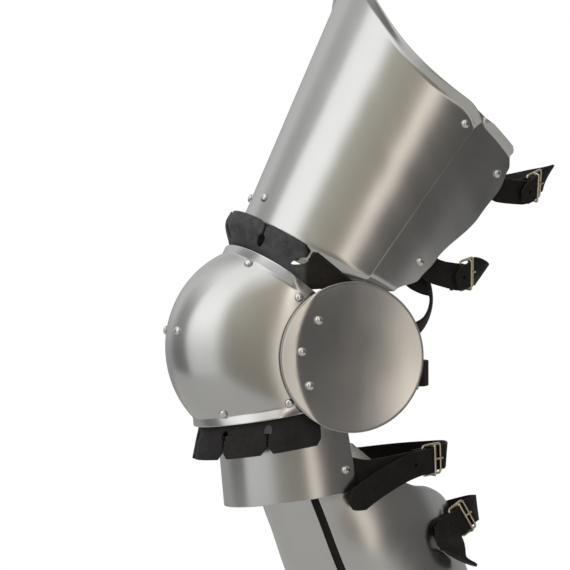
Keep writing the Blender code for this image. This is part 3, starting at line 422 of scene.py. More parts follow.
def add_bright(name, colour, roughness):
    tree, shader = new_material(name, colour, 1.0, roughness)
    marks = noise_field(tree, 420, 3.0)
    rough = ranged(tree, marks, roughness - 0.05, roughness + 0.08)
    feed(tree, shader, roughness=rough, normal=bumped(tree, marks, 0.00012))


add_steel("thigh_steel", THIGH_TILT, 0.22)
add_steel("knee_steel", 0.0, 0.8)
add_steel("shank_steel", -SHANK_TILT, 0.22)
add_leather("leather", (0.007, 0.0055, 0.0045), (0.013, 0.010, 0.008), 0.62)
add_band_leather()
add_leather("low_band", (0.015, 0.0135, 0.0135), (0.025, 0.023, 0.023), 0.62)
add_bright("brass", (0.78, 0.71, 0.52), 0.22)
add_bright("rivet", (0.78, 0.78, 0.77), 0.20)


# Builders of the pieces. Each piece stands for the CAD node of its name.


def add_item(name, data, kind):
    item = bpy.data.objects.new(name + "_form", data)
    bpy.context.scene.collection.objects.link(item)
    data.materials.append(materials[kind])
    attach(item, "root")
    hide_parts(name)
    return item


def add_piece(name, places, faces, kind, thickness=0.0):
    mesh = bpy.data.meshes.new(name)
    mesh.from_pydata(places, [], faces)
    item = add_item(name, mesh, kind)
    mesh.shade_smooth()
    if thickness:
        wall = item.modifiers.new("wall", "SOLIDIFY")
        wall.thickness = thickness
        wall.offset = 0
        wall.use_even_offset = thickness < LEATHER
        edge = item.modifiers.new("edge", "BEVEL")
        edge.width = EDGE_ROUND
        edge.segments = 2
        edge.limit_method = "ANGLE"
        edge.angle_limit = math.radians(50)


def shares(parts):
    """Places from 0 to 1: a list as it is, or so many equal parts."""
    return parts if isinstance(parts, list) else [i / parts for i in range(parts + 1)]


def refined(values, step):
    """The same places with more between them, no further apart than this step."""
    result = [values[0]]
    for low, high in zip(values, values[1:]):
        parts = max(1, math.ceil((high - low) / step - 0.001))
        result += [lerp(low, high, (part + 1) / parts) for part in range(parts)]
    return result


def seated(place, seats):
    """A place of a leather, kept clear of the plates it lies against: 1 is outside the plate, -1 inside."""
    for name, side in seats:
        near, normal, _, _ = trees[name].find_nearest(place)
        away = place - near
        height = away.dot(normal)
        beside = (away - normal * height).length
        if beside < SEAT_REACH and abs(height) < SEAT_HEIGHT and height * side < SEAT:
            place = near + normal * side * SEAT
    return place


def shell(name, places, faces, kind, thickness, outward):
    """Makes the piece from its middle surface, with its faces turned outward."""
    tree = BVHTree.FromPolygons(places, faces)
    middle = tree.find_nearest(places[len(places) // 2])
    if middle[1].dot(outward(middle[0])) < 0:
        faces = [tuple(reversed(face)) for face in faces]
        tree = BVHTree.FromPolygons(places, faces)
    trees[name] = tree
    thicknesses[name] = thickness
    add_piece(name, places, faces, kind, thickness)


def sheet(name, surface, columns, rows, thickness, kind, outward, seats=()):
    """A plate or leather: a fine grid shaped by surface(across, along), with rounded edges."""
    across = refined(shares(columns), ACROSS_STEP)
    along = refined(shares(rows), ALONG_STEP)
    places = [seated(surface(column, row), seats) for row in along for column in across]
    width = len(across)
    faces = [
        (start, start + 1, start + width + 1, start + width)
        for row in range(len(along) - 1)
        for start in range(row * width, row * width + width - 1)
    ]
    shell(name, places, faces, kind, thickness, outward)


def inside(point, loop):
    hit = False
    for (ax, ay), (bx, by) in zip(loop, loop[1:] + loop[:1]):
        if (ay > point[1]) != (by > point[1]) and point[0] < (bx - ax) * (point[1] - ay) / (by - ay) + ax:
            hit = not hit
    return hit


def resampled(loop, step):
    result = []
    for start, end in zip(loop, loop[1:] + loop[:1]):
        parts = max(1, round(math.dist(start, end) / step))
        for share in (part / parts for part in range(parts)):
            result.append((lerp(start[0], end[0], share), lerp(start[1], end[1], share)))
    return result


def circle(centre, radius, first=0.0, last=math.tau, steps=14):
    turns = [lerp(first, last, i / steps) for i in range(steps)]
    return [(centre[0] + radius * math.cos(turn), centre[1] + radius * math.sin(turn)) for turn in turns]


def cut_out(name, outline, holes, step, place, outward, kind="leather", seats=()):
    """A leather cut flat to an outline with holes, then laid where place(x, y) says."""
    loops = [resampled(loop, step) for loop in (outline, *holes)]
    points = [point for loop in loops for point in loop]
    edges = []
    first = 0
    for loop in loops:
        edges += [(first + i, first + (i + 1) % len(loop)) for i in range(len(loop))]
        first += len(loop)
    near = KDTree(len(points))
    for index, point in enumerate(points):
        near.insert((*point, 0), index)
    near.balance()
    xs, ys = zip(*outline)
    columns = max(2, round((max(xs) - min(xs)) / step))
    rows = max(2, round((max(ys) - min(ys)) / step))
    for row in range(1, rows):
        for column in range(1, columns):
            point = (lerp(min(xs), max(xs), column / columns), lerp(min(ys), max(ys), row / rows))
            clear = near.find((*point, 0))[2] > step * 0.6
            if clear and inside(point, outline) and not any(inside(point, hole) for hole in holes):
                points.append(point)
    found = geometry.delaunay_2d_cdt([Vector(point) for point in points], edges, [], 1, 1e-7)
    flat, faces = found[0], found[2]
    kept = []
    for face in faces:
        centre = sum((flat[index] for index in face), Vector((0, 0))) / len(face)
        if not any(inside(centre, hole) for hole in holes):
            kept.append(tuple(face))
    places = [seated(place(*point), seats) for point in flat]
    shell(name, places, kept, kind, LEATHER, outward)


def ring_faces(rings, steps):
    """Faces from a first point over rings of points, each ring round or below the one before."""
    faces = []
    for step in range(steps):
        after = (step + 1) % steps
        faces.append((0, 1 + step, 1 + after))
        for start in range(1, 1 + (rings - 1) * steps, steps):
            faces.append((start + step, start + steps + step, start + steps + after, start + after))
    return faces


def lathe(name, profile, steps, matrix, kind):
    """A turned piece: rings of the profile (radius, height) between its two ends on the axis."""
    places = [matrix @ Vector((0, 0, profile[0][1]))]
    for radius, height in profile[1:-1]:
        places += [matrix @ Vector((x, y, height)) for x, y in circle((0, 0), radius, steps=steps)]
    last = len(places)
    places.append(matrix @ Vector((0, 0, profile[-1][1])))
    faces = ring_faces(len(profile) - 2, steps)
    faces += [(last - steps + step, last, last - steps + (step + 1) % steps) for step in range(steps)]
    add_piece(name, places, faces, kind)


def tubes(name, lines, kind):
    """Round wires in one piece. Each line is its points, its radius and whether it closes."""
    curve = bpy.data.curves.new(name, "CURVE")
    curve.dimensions = "3D"
    curve.bevel_depth = 1.0
    curve.bevel_resolution = 4
    curve.use_fill_caps = True
    for points, radius, closed in lines:
        line = curve.splines.new("POLY")
        line.points.add(len(points) - 1)
        line.use_cyclic_u = closed
        for point, place in zip(line.points, points):
            point.co = (*place, 1)
            point.radius = radius
    add_item(name, curve, kind)


def normal_of(surface, across, along):
    """The outward direction of a surface(turn, along, out) at one place."""
    step = 0.002
    side = surface(across + step, along) - surface(across - step, along)
    up = surface(across, along + step) - surface(across, along - step)
    normal = side.cross(up).normalized()
    away = surface(across, along, 0.01) - surface(across, along)
    return normal if normal.dot(away) > 0 else -normal


# Surfaces of the limb


def limb_offset(half_width, front, back, turn):
    depth = front if math.cos(turn) >= 0 else back
    return half_width * math.sin(turn), -depth * math.cos(turn)


def thigh(turn, along, out=0.0):
    """A point of the cuisse, at a length along the thigh from the knee and a turn from its front."""
    share = along / CUISSE_LENGTH
    width = lerp(CUISSE_HALF_WIDTH, CUISSE_TOP_HALF_WIDTH, share) + out
    front = lerp(CUISSE_DEPTH, CUISSE_TOP_DEPTH, share)
    x, back = limb_offset(width, front + out, front * CUISSE_BACK_RATIO + out, turn)
    lift, lean = math.cos(THIGH_TILT), math.sin(THIGH_TILT)
    return Vector((x, along * lean + back * lift, along * lift - back * lean))


# Each row: share of the greave's length, then half width, front and back depth as shares of their sizes
GREAVE_SECTIONS = [
    (0.18, 0.905, 0.93, 0.93),
    (0.30, 0.965, 0.97, 0.97),
    (0.42, 1.00, 1.00, 1.00),
    (0.56, 0.97, 0.99, 0.93),
    (0.75, 0.82, 0.90, 0.74),
    (0.94, 0.69, 0.74, 0.58),
    (1.00, 0.72, 0.75, 0.62),
]
GREAVE_WIDTHS = [(row[0], row[1]) for row in GREAVE_SECTIONS]
GREAVE_FRONTS = [(row[0], row[2]) for row in GREAVE_SECTIONS]
GREAVE_BACKS = [(row[0], row[3]) for row in GREAVE_SECTIONS]


def shank(turn, along, out=0.0):
    """A point of the greave, at a length down the shank from the knee and a turn from its front."""
    share = along / GREAVE_FOOT
    width = GREAVE_HALF_WIDTH * table_value(GREAVE_WIDTHS, share) + out
    front = GREAVE_DEPTH * table_value(GREAVE_FRONTS, share) + out
    rear = GREAVE_BACK_DEPTH * table_value(GREAVE_BACKS, share) + out
    x, back = limb_offset(width, front, rear, turn)
    drop, lean = math.cos(SHANK_TILT), math.sin(SHANK_TILT)
    return Vector((x, SHANK_BACK + along * lean + back * drop, back * lean - along * drop))


def fan_pivot():
    """Where the planes of the two rims of the poleyn meet, behind the knee."""
    upper = Vector((math.cos(UPPER_RIM_TILT), -math.sin(UPPER_RIM_TILT)))
    lower = Vector((math.cos(LOWER_RIM_TILT), math.sin(LOWER_RIM_TILT)))
    offset = Vector((LOWER_RIM_BACK - UPPER_RIM_BACK, LOWER_RIM_HEIGHT - UPPER_RIM_HEIGHT))
    reach = (offset.x * lower.y - offset.y * lower.x) / (upper.x * lower.y - upper.y * lower.x)
    return Vector((UPPER_RIM_BACK, UPPER_RIM_HEIGHT)) + upper * reach


PIVOT = fan_pivot()


def dome_reach(tilt, centre_back, centre_rise, radius):
    """How far forward of the pivot a plane through it leaves an arc of this radius."""
    ahead = Vector((-math.cos(tilt), math.sin(tilt)))
    start = PIVOT - Vector((centre_back, centre_rise))
    along = start.dot(ahead)
    return -along + math.sqrt(along**2 - start.length_squared + radius**2)


def dome_arc(turn):
    """Length of the dome from rim to rim at one turn from its front."""
    side = (UPPER_RIM_HEIGHT - LOWER_RIM_HEIGHT) * 1.05
    front = DOME_RADIUS * 1.86
    return lerp(side, front, max(math.cos(turn), 0.0))


def poleyn(turn, along, out=0.0):
    """A point of the poleyn, at a share of the way from its upper to its lower rim."""
    tilt = lerp(UPPER_RIM_TILT, -LOWER_RIM_TILT, along)
    reach = dome_reach(tilt, DOME_BACK, DOME_RISE, DOME_RADIUS)
    middle = (PIVOT.x - POLEYN_SIDE_BACK) / math.cos(tilt)
    bulge = 1 - (2 * along - 1) ** 4
    width = POLEYN_HALF_WIDTH * lerp(POLEYN_RIM_WIDTH, 1, bulge) + out
    x, back = limb_offset(width, reach - middle + out, POLEYN_WING_DEPTH + out, turn)
    ahead = middle - back
    return Vector((x, PIVOT.x - ahead * math.cos(tilt), PIVOT.y + ahead * math.sin(tilt)))


def poleyn_flare(turn):
    """The rims' flare, which dies away under the rondel."""
    return POLEYN_FLARE * lerp(1.0, 0.1, smooth((abs(turn) - math.radians(68)) / math.radians(18)))


def poleyn_plate(turn, along):
    """The poleyn with its two flared rims."""
    edge = min(along, 1 - along) * dome_arc(turn)
    return poleyn(turn, along, poleyn_flare(turn) * max(0.0, 1 - edge / FLANGE))


def lame(turn, along, out=0.0):
    """A point of the lower lame, at a share of the way from its top to its foot."""
    drop, lean = math.cos(LAME_TILT), math.sin(LAME_TILT)
    depth = lerp(LAME_TOP_DEPTH, LAME_DEPTH, along) + out
    x, back = limb_offset(LAME_HALF_WIDTH + out, depth, depth, turn)
    rise = LAME_LENGTH * (1 - along)
    return Vector((x, LAME_BACK - rise * lean + back * drop, LAME_FOOT_HEIGHT + rise * drop + back * lean))


def from_axis(place):
    """Away from the axis of the thigh above the knee and of the shank below it."""
    lean = math.tan(THIGH_TILT) if place.z > 0 else -math.tan(SHANK_TILT)
    centre = Vector((0, place.z * lean, place.z))
    return (place - centre).normalized()


# Plates


def cuisse_top(turn):
    """Length along the thigh of the cuisse's top edge, highest at the front."""
    side = CUISSE_SIDE_TOP if turn > 0 else CUISSE_INNER_TOP
    peak = CUISSE_PEAK_TURN if turn > 0 else CUISSE_INNER_PEAK_TURN
    return side + (CUISSE_LENGTH - side) * math.exp(-((turn / peak) ** 2))


def flared(top, along):
    return FLANGE_FLARE * max(0.0, 1 - (top - along) / FLANGE)


def cuisse_draw_in(turn, along):
    """The foot of the cuisse is drawn in, most at its sides, so that the leather passes over it."""
    depth = lerp(CUISSE_DRAW_IN, CUISSE_SIDE_DRAW_IN, math.sin(turn) ** 2)
    return depth * smooth((CUISSE_DRAW_IN_TOP - along) / CUISSE_DRAW_IN_LENGTH)


def seam_turn(along):
    share = (along - SIDE_PLATE_FOOT) / (CUISSE_SIDE_TOP - SIDE_PLATE_FOOT)
    return lerp(SEAM_FOOT_TURN, SEAM_TOP_TURN, share)


def flange_length(foot, top, along, start):
    """A length between foot and top, at a share of the plate's rows. Its flange begins at the share start."""
    if along > start:
        return lerp(top - FLANGE, top, (along - start) / (1 - start))
    return lerp(foot, top - FLANGE, along / start)


def make_cuisse():
    def surface(across, along):
        outer = max(0.0, (across - 1 + CUISSE_CORNER) / CUISSE_CORNER) ** 2.5
        inner = max(0.0, (CUISSE_CORNER - across) / CUISSE_CORNER) ** 2.5
        top = cuisse_top(lerp(CUISSE_INNER_TURN, SEAM_TOP_TURN, across))
        top -= CUISSE_OUTER_DROP * outer + CUISSE_INNER_DROP * inner
        length = flange_length(CUISSE_FOOT + CUISSE_CORNER_LIFT * outer, top, along, CUISSE_FLANGE_ROW)
        turn = lerp(CUISSE_INNER_TURN, seam_turn(length), across)
        return thigh(turn, length, flared(top, length) - cuisse_draw_in(turn, length))

    rows = [0.0, 0.04, 0.08, 0.12, 0.24, 0.39, 0.54, 0.69, 0.84, CUISSE_FLANGE_ROW, 1.0]
    columns = [0.0, 0.02] + [lerp(0.055, 0.945, i / 18) for i in range(19)] + [0.98, 1.0]
    sheet("cuisse_plate", surface, columns, rows, STEEL, "thigh_steel", from_axis)


# Each row: share of the side plate's length, then its rear edge as a share from the seam to SIDE_PLATE_TURN
SIDE_PLATE_EDGE = [
    (0.00, 0.04),
    (0.05, 0.12),
    (0.11, 0.42),
    (0.217, 0.64),
    (0.326, 0.70),
    (0.62, 0.95),
    (0.772, 1.00),
    (0.867, 0.93),
    (0.934, 0.78),
    (1.00, 0.40),
]


def side_plate_turn(across, along):
    """The side plate starts under the cuisse's edge and ends in its rear edge."""
    length = lerp(SIDE_PLATE_FOOT, CUISSE_SIDE_TOP, along)
    start = seam_turn(length) - SEAM_OVERLAP_TURN
    end = lerp(seam_turn(length), SIDE_PLATE_TURN, table_value(SIDE_PLATE_EDGE, along))
    return lerp(start, end, across)


def side_plate(across, along):
    top = CUISSE_SIDE_TOP + 0.0015 - SIDE_PLATE_SLOPE * across**2
    top -= SIDE_PLATE_FRONT_DROP * smooth((0.3 - across) / 0.2)
    foot = SIDE_PLATE_FOOT + SIDE_PLATE_SLOPE * across
    length = flange_length(foot, top, along, SIDE_PLATE_FLANGE_ROW)
    share = (length - SIDE_PLATE_FOOT) / (CUISSE_SIDE_TOP - SIDE_PLATE_FOOT)
    turn = side_plate_turn(across, share)
    flare = flared(top, length) * smooth((turn - seam_turn(length)) / math.radians(6))
    draw_in = SIDE_PLATE_DRAW_IN * smooth((SIDE_PLATE_DRAW_IN_TOP - length) / CUISSE_DRAW_IN_LENGTH)
    return thigh(turn, length, flare - STEEL - LAP - draw_in)


def make_side_plate():
    columns = [0.0, 0.15, 0.3, 0.45, 0.65, 0.85, 1.0]
    rows = [0.0, 0.03, 0.06, 0.1, 0.2, 0.33, 0.48, 0.64, 0.75, 0.85, 0.91, SIDE_PLATE_FLANGE_ROW, 1.0]
    sheet("cuisse_side_plate", side_plate, columns, rows, STEEL, "thigh_steel", from_axis)


def poleyn_turn(across, along):
    """The wings of the poleyn reach furthest back at mid height."""
    reach = 1 - POLEYN_WING_CUT * (2 * along - 1) ** 2
    return lerp(-POLEYN_WRAP * reach, POLEYN_WRAP * reach, across)


def make_poleyn():
    def surface(across, along):
        turn = poleyn_turn(across, 0.5)
        near = FLANGE / dome_arc(turn)
        if along < POLEYN_RIM_ROW:
            share = near * along / POLEYN_RIM_ROW
        elif along > 1 - POLEYN_RIM_ROW:
            share = 1 - near * (1 - along) / POLEYN_RIM_ROW
        else:
            share = lerp(near, 1 - near, (along - POLEYN_RIM_ROW) / (1 - 2 * POLEYN_RIM_ROW))
        return poleyn_plate(poleyn_turn(across, share), share)

    rows = [0.0] + [lerp(POLEYN_RIM_ROW, 1 - POLEYN_RIM_ROW, i / 9) for i in range(10)] + [1.0]
    sheet("poleyn", surface, 22, rows, STEEL, "knee_steel", from_axis)


def rondel_surface(radius, angle):
    """The rondel's face: a dish that stands out at its rim, bent in at its front to follow the dome."""
    back = radius * math.cos(angle)
    rise = radius * math.sin(angle)
    dish = RONDEL_DISH * (radius / RONDEL_RADIUS) ** 2
    edge = -back - RONDEL_BEND_AT + RONDEL_BEND_CURVE * (rise / RONDEL_RADIUS) ** 2
    bend = max(0.0, edge) * math.tan(RONDEL_BEND)
    return Vector((RONDEL_SIDE + dish - bend, RONDEL_BACK + back, rise))


def make_rondel():
    places = [rondel_surface(0.0, 0.0)]
    for radius in (RONDEL_RADIUS * ring / RONDEL_RINGS for ring in range(1, RONDEL_RINGS + 1)):
        places += [rondel_surface(radius, math.tau * step / RONDEL_STEPS) for step in range(RONDEL_STEPS)]
    faces = ring_faces(RONDEL_RINGS, RONDEL_STEPS)
    shell("rondel", places, faces, "knee_steel", STEEL, lambda spot: Vector((1, 0, 0)))


def make_lame():
    def surface(across, along):
        turn = lerp(-LAME_WRAP, LAME_WRAP, across)
        corner = LAME_CORNER * max(0.0, (abs(2 * across - 1) - 1 + LAME_CORNER) / LAME_CORNER) ** 2
        return lame(turn, min(along, 1 - corner) if along > 0.5 else max(along, corner))

    columns = [0.0, 0.015] + [lerp(0.04, 0.96, i / 16) for i in range(17)] + [0.985, 1.0]
    sheet("lower_lame", surface, columns, 3, STEEL, "knee_steel", from_axis)


# How far the calf's top edge has dropped, at equal turns from the side to the back
CALF_EDGE = [0.0, 0.36, 0.58, 0.68, 0.81, 0.95, 1.0]


def greave_top(turn):
    """Length down the shank of the greave's top edge: level at the front and side, lower round the back."""
    share = (abs(turn) - math.pi / 2) / (math.pi / 2)
    if share <= 0:
        return lerp(GREAVE_FRONT_TOP, GREAVE_SIDE_TOP, abs(turn) / (math.pi / 2))
    drop = spline([Vector((value, 0)) for value in CALF_EDGE], share).x
    return lerp(GREAVE_SIDE_TOP, GREAVE_BACK_TOP, drop)


GREAVE_ROWS = [0.975 * i / 9 for i in range(10)]


def make_greave_plate(name, first_turn, last_turn, columns):
    def surface(across, along):
        turn = lerp(first_turn, last_turn, across)
        length = lerp(greave_top(turn), GREAVE_FOOT, along)
        edge = (GREAVE_FOOT - length) / FLANGE
        return shank(turn, length, FLANGE_FLARE * 0.6 * max(0.0, 1 - edge))

    sheet(name, surface, columns, GREAVE_ROWS + [1.0], STEEL, "shank_steel", from_axis)


def hinge_turns():
    """The turns on both sides of the gap between the greave's plates."""
    half = GREAVE_HINGE_WIDTH / (GREAVE_HALF_WIDTH + GREAVE_DEPTH)
    return GREAVE_HINGE_TURN - half, GREAVE_HINGE_TURN + half


def back_turn():
    return math.pi - GREAVE_BACK_WIDTH / 2 / GREAVE_HALF_WIDTH


def make_greave():
    before, after = hinge_turns()
    make_greave_plate("greave_front_plate", -before, before, 12)
    make_greave_plate("greave_calf_outer", after, back_turn(), 9)
    make_greave_plate("greave_calf_inner", -back_turn(), -after, 9)


# Leathers


UPPER_BAND_TURNS = (math.radians(-74), math.radians(94))
UPPER_BAND_TOP = 0.0910
UPPER_BAND_SIDE_TOP = 0.0775
UPPER_BAND_STAND_OFF = 0.0130
UPPER_BAND_REACH = 0.046
LOWER_BAND_TURNS = (math.radians(-93), math.radians(99))
LOWER_BAND_DROP = 0.031
LOWER_BAND_LEAN = 0.20
LOWER_BAND_REACH = 0.049
TUCK = 0.018
TUCK_MIDDLE = 0.008
CENTRE_LEATHER_TURN = math.radians(24)
HINGE_LAP_TURN = math.radians(8)

# Slits at these turns in degrees, in keyholes at these shares of a band's reach
UPPER_SLITS = [-40, -4, 32, 61]
LOWER_SLITS = [-70, -38, -5, 31, 63]
UPPER_KEYHOLES = 0.68
LOWER_KEYHOLES = 0.66
KEYHOLE_RADIUS = 0.0036
SLIT_WIDTH = 0.0018


def upper_band(turn, along):
    """The dagged leather over the cuisse's foot, held under the poleyn's upper rim."""
    front = max(math.cos(turn), 0.0)
    top = lerp(UPPER_BAND_SIDE_TOP, UPPER_BAND_TOP, front)
    middle = lerp(CUISSE_FOOT, top, 0.4)
    stand_off = UPPER_BAND_STAND_OFF * front**2
    points = [
        poleyn(turn, TUCK / dome_arc(turn), -SEAT - 0.0010),
        poleyn(turn, TUCK_MIDDLE / dome_arc(turn), -SEAT - 0.0007),
        poleyn(turn, 0.0, poleyn_flare(turn) * 0.42 - SEAT),
        thigh(turn, middle, SEAT + stand_off - cuisse_draw_in(turn, middle)),
        thigh(turn, top, SEAT + stand_off * 0.8 - cuisse_draw_in(turn, top)),
    ]
    return spline(points, along)


def lower_band(turn, along):
    """The dagged leather that hangs from inside the poleyn's lower rim."""
    first = poleyn(turn, 1 - TUCK / dome_arc(turn), -SEAT - 0.0006)
    second = poleyn(turn, 1 - TUCK_MIDDLE / dome_arc(turn), -SEAT - 0.0006)
    rim = poleyn(turn, 1.0, poleyn_flare(turn) * 0.55 - SEAT)
    ahead = lerp(0.03, -LOWER_BAND_LEAN, max(math.cos(turn), 0.0))
    hang = Vector((0.13 * math.sin(turn), ahead, -1)).normalized() * LOWER_BAND_DROP
    return spline([first, second, rim, rim + hang / 2, rim + hang], along)


def tabbed_outline(limits, slits, start, reach):
    """A band's pattern: its plain edge, then tabs with chamfered corners and slits that end in keyholes."""
    first, last = (limit * BAND_RADIUS for limit in limits)
    half = SLIT_WIDTH / 2
    gap = math.asin(half / KEYHOLE_RADIUS)
    outline = [(first, 0.0), (last, 0.0), (last, reach - TAB_CHAMFER), (last - TAB_CHAMFER, reach)]
    for degrees in reversed(slits):
        middle = math.radians(degrees) * BAND_RADIUS
        outline += [(middle + half + TAB_CHAMFER, reach), (middle + half, reach - TAB_CHAMFER)]
        centre = (middle, start * reach)
        outline += circle(centre, KEYHOLE_RADIUS, math.pi / 2 - gap, -3 * math.pi / 2 + gap, 20)
        outline += [(middle - half, start * reach + KEYHOLE_RADIUS * math.cos(gap))]
        outline += [(middle - half, reach - TAB_CHAMFER), (middle - half - TAB_CHAMFER, reach)]
    outline += [(first + TAB_CHAMFER, reach), (first, reach - TAB_CHAMFER)]
    return outline


def make_band(name, surface, outline, reach, kind, seats):
    def place(x, y):
        return surface(x / BAND_RADIUS, y / reach)

    cut_out(name, outline, [], BAND_STEP, place, from_axis, kind, seats)


def make_bands():
    outline = tabbed_outline(UPPER_BAND_TURNS, UPPER_SLITS, UPPER_KEYHOLES, UPPER_BAND_REACH)
    seats = [("poleyn", -1), ("cuisse_plate", 1)]
    make_band("upper_dagged_band", upper_band, outline, UPPER_BAND_REACH, "band", seats)
    outline = tabbed_outline(LOWER_BAND_TURNS, LOWER_SLITS, LOWER_KEYHOLES, LOWER_BAND_REACH)
    seats = [("poleyn", -1), ("lower_lame", 1)]
    make_band("lower_dagged_band", lower_band, outline, LOWER_BAND_REACH, "low_band", seats)


def make_centre_leather():
    """The leather inside the front that joins cuisse, poleyn and lame and lets the knee bend."""

    def surface(across, along):
        turn = lerp(-CENTRE_LEATHER_TURN, CENTRE_LEATHER_TURN, across)
        points = [
            thigh(turn, 0.122, -SEAT),
            thigh(turn, 0.104, -SEAT),
            thigh(turn, 0.086, -SEAT - 0.003),
            thigh(turn, 0.064, -SEAT - 0.0065),
            poleyn(turn, 0.30, -SEAT - 0.005),
            poleyn(turn, 0.47, -SEAT),
            poleyn(turn, 0.56, -SEAT),
            poleyn(turn, 0.74, -SEAT - 0.006),
            lame(turn, 0.02, -SEAT - 0.003),
            lame(turn, 0.22, -SEAT),
            lame(turn, 0.45, -SEAT),
        ]
        return spline(points, along)

    seats = [("cuisse_plate", -1), ("poleyn", -1), ("lower_lame", -1)]
    sheet("centre_leather", surface, 3, 20, LEATHER, "leather", from_axis, seats)


def make_greave_hinge(name, side):
    before, after = hinge_turns()

    def surface(across, along):
        turn = lerp(before - HINGE_LAP_TURN, after + HINGE_LAP_TURN, across) * side
        return shank(turn, lerp(greave_top(turn), GREAVE_FOOT, along), -SEAT - 0.0003)

    half = "outer" if side > 0 else "inner"
    seats = [("greave_front_plate", -1), ("greave_calf_" + half, -1)]
    rows = [0.02] + GREAVE_ROWS[1:-1] + [0.94]
    sheet(name, surface, [0.0, 0.4, 0.6, 1.0], rows, LEATHER, "leather", from_axis, seats)


# Rivets


def grip(place, direction, pieces, radius):
    """How far the pieces reach against the direction, anywhere under a disc of this radius at this place."""
    side = direction.orthogonal().normalized()
    other = direction.cross(side)
    reach = 0.0
    for x, y in circle((0, 0), radius, steps=8):
        start = place + side * x + other * y + direction * GRIP_START
        for piece in pieces:
            hit, normal, _, away = trees[piece].ray_cast(start, -direction, GRIP_DEPTH)
            if hit is not None:
                slant = max(abs(normal.dot(direction)), 0.5)
                reach = max(reach, away - GRIP_START + thicknesses[piece] / 2 / slant)
    return reach


def rivet(name, place, direction, pieces):
    """A domed rivet: its head stands on the outer face, and its tail is below all that it holds."""
    head = grip(place, -direction, pieces[:1], RIVET_RADIUS) + GAP
    tail = grip(place, direction, pieces, RIVET_TAIL) + GAP
    turns = [math.pi / 2 * i / 7 for i in range(8)]
    profile = [(RIVET_RADIUS * math.sin(turn), head + RIVET_HEIGHT * math.cos(turn) ** 0.8) for turn in turns]
    profile += [(RIVET_SHANK, head), (RIVET_SHANK, -tail), (RIVET_TAIL, -tail)]
    profile += [(RIVET_TAIL * 0.7, -tail - RIVET_TAIL_HEIGHT * 0.8), (0, -tail - RIVET_TAIL_HEIGHT)]
    matrix = Matrix.Translation(place) @ direction.to_track_quat("Z", "Y").to_matrix().to_4x4()
    lathe(name, profile, 28, matrix, "rivet")


def surface_rivet(name, surface, degrees, along, pieces, out=0.0):
    turn = math.radians(degrees)
    rivet(name, surface(turn, along, out), normal_of(surface, turn, along), pieces)


# Each row: part of the name, then the turn from the front in degrees
BAND_RIVETS = {
    "upper": [("outer_front", 37), ("outer_side", 82.5), ("inner", -50)],
    "lower": [("outer_front", 36), ("outer_side", 79), ("inner", -50)],
}

# Each row: how far ahead of the rondel's centre a rivet is, and how far above it
RONDEL_RIVETS = [(0.0321, 0.0330), (0.0480, 0.0053), (0.0406, -0.0249)]


def make_rivets():
    for name, turn in (("inner", -14), ("outer", 14)):
        surface_rivet("cuisse_rivet_" + name, thigh, turn, 0.112, ["cuisse_plate", "centre_leather"])
        surface_rivet("poleyn_rivet_" + name, poleyn, turn, 0.515, ["poleyn", "centre_leather"])
    surface_rivet("seam_rivet", thigh, 98.5, 0.252, ["cuisse_plate", "cuisse_side_plate"])
    for rim, rows in BAND_RIVETS.items():
        for part, turn in rows:
            inset = RIM_RIVET_INSET / dome_arc(math.radians(turn))
            place = inset if rim == "upper" else 1 - inset
            surface_rivet(f"poleyn_rivet_{rim}_{part}", poleyn, turn, place, ["poleyn", rim + "_dagged_band"])
    for index, (ahead, rise) in enumerate(RONDEL_RIVETS, 1):
        place = rondel_surface(math.hypot(ahead, rise), math.atan2(rise, -ahead))
        rivet(f"rondel_rivet_{index}", place, Vector((1, 0, 0)), ["rondel", "poleyn"])
    upper = ["cuisse_side_plate", "upper_thigh_holder"]
    lower = ["cuisse_side_plate", "lower_thigh_holder", "side_leather"]
    surface_rivet("side_plate_rivet_upper", thigh, 124.0, 0.2330, upper, -STEEL - LAP)
    surface_rivet("side_plate_rivet_lower", thigh, 113.8, 0.1258, lower, -STEEL - LAP)
    surface_rivet("lame_rivet_outer", lame, 103, 0.68, ["lower_lame", "lame_holder"])
    surface_rivet("lame_rivet_inner", lame, -103, 0.72, ["lower_lame", "lame_strap"])


# Straps and buckles


def ribbon(name, route, width, tip=0.0, seats=(), slots=(), holes=()):
    """A flat strap through a route of places, each with its outward direction.

    A slot is the row of the route at its middle and its length. A hole is its distance from the tip."""
    places = [place for place, _ in route]
    facings = [facing for _, facing in route]
    spans = [(after - before).length for before, after in zip(places, places[1:])]
    ends = [sum(spans[:index]) for index in range(len(places))]

    def place(x, y):
        index = max(i for i in range(len(spans)) if ends[i] <= max(y, 0.0))
        along = (index + (y - ends[index]) / spans[index]) / len(spans)
        middle = spline(places, along)
        ahead = spline(places, along + 0.3 / len(spans)) - spline(places, along - 0.3 / len(spans))
        side = ahead.cross(spline(facings, along)).normalized()
        return middle + side * x

    half = width / 2
    edge = [(half, 0.0), (half, ends[-1] - tip)]
    if tip:
        for left in (0.8, 0.6, 0.4, 0.2, 0.0):
            edge.append((half * lerp(0.35, 1.0, left**0.75), ends[-1] - tip * left))
    outline = edge + [(-x, y) for x, y in reversed(edge)]
    cuts = [circle((0, ends[-1] - away), HOLE_RADIUS) for away in holes]
    for row, length in slots:
        reach = length / 2 - SLOT_WIDTH / 2
        low = circle((0, ends[row] - reach), SLOT_WIDTH / 2, math.pi, math.tau, 6)
        high = circle((0, ends[row] + reach), SLOT_WIDTH / 2, 0, math.pi, 6)
        cuts.append(low + high)

    def outward(spot):
        return min(zip(places, facings), key=lambda pair: (pair[0] - spot).length)[1]

    cut_out(name, outline, cuts, RIBBON_STEP, place, outward, "leather", seats)


def placed(x, y, z, facing=None):
    place = Vector((x, y, z))
    return place, Vector(facing).normalized() if facing else from_axis(place)


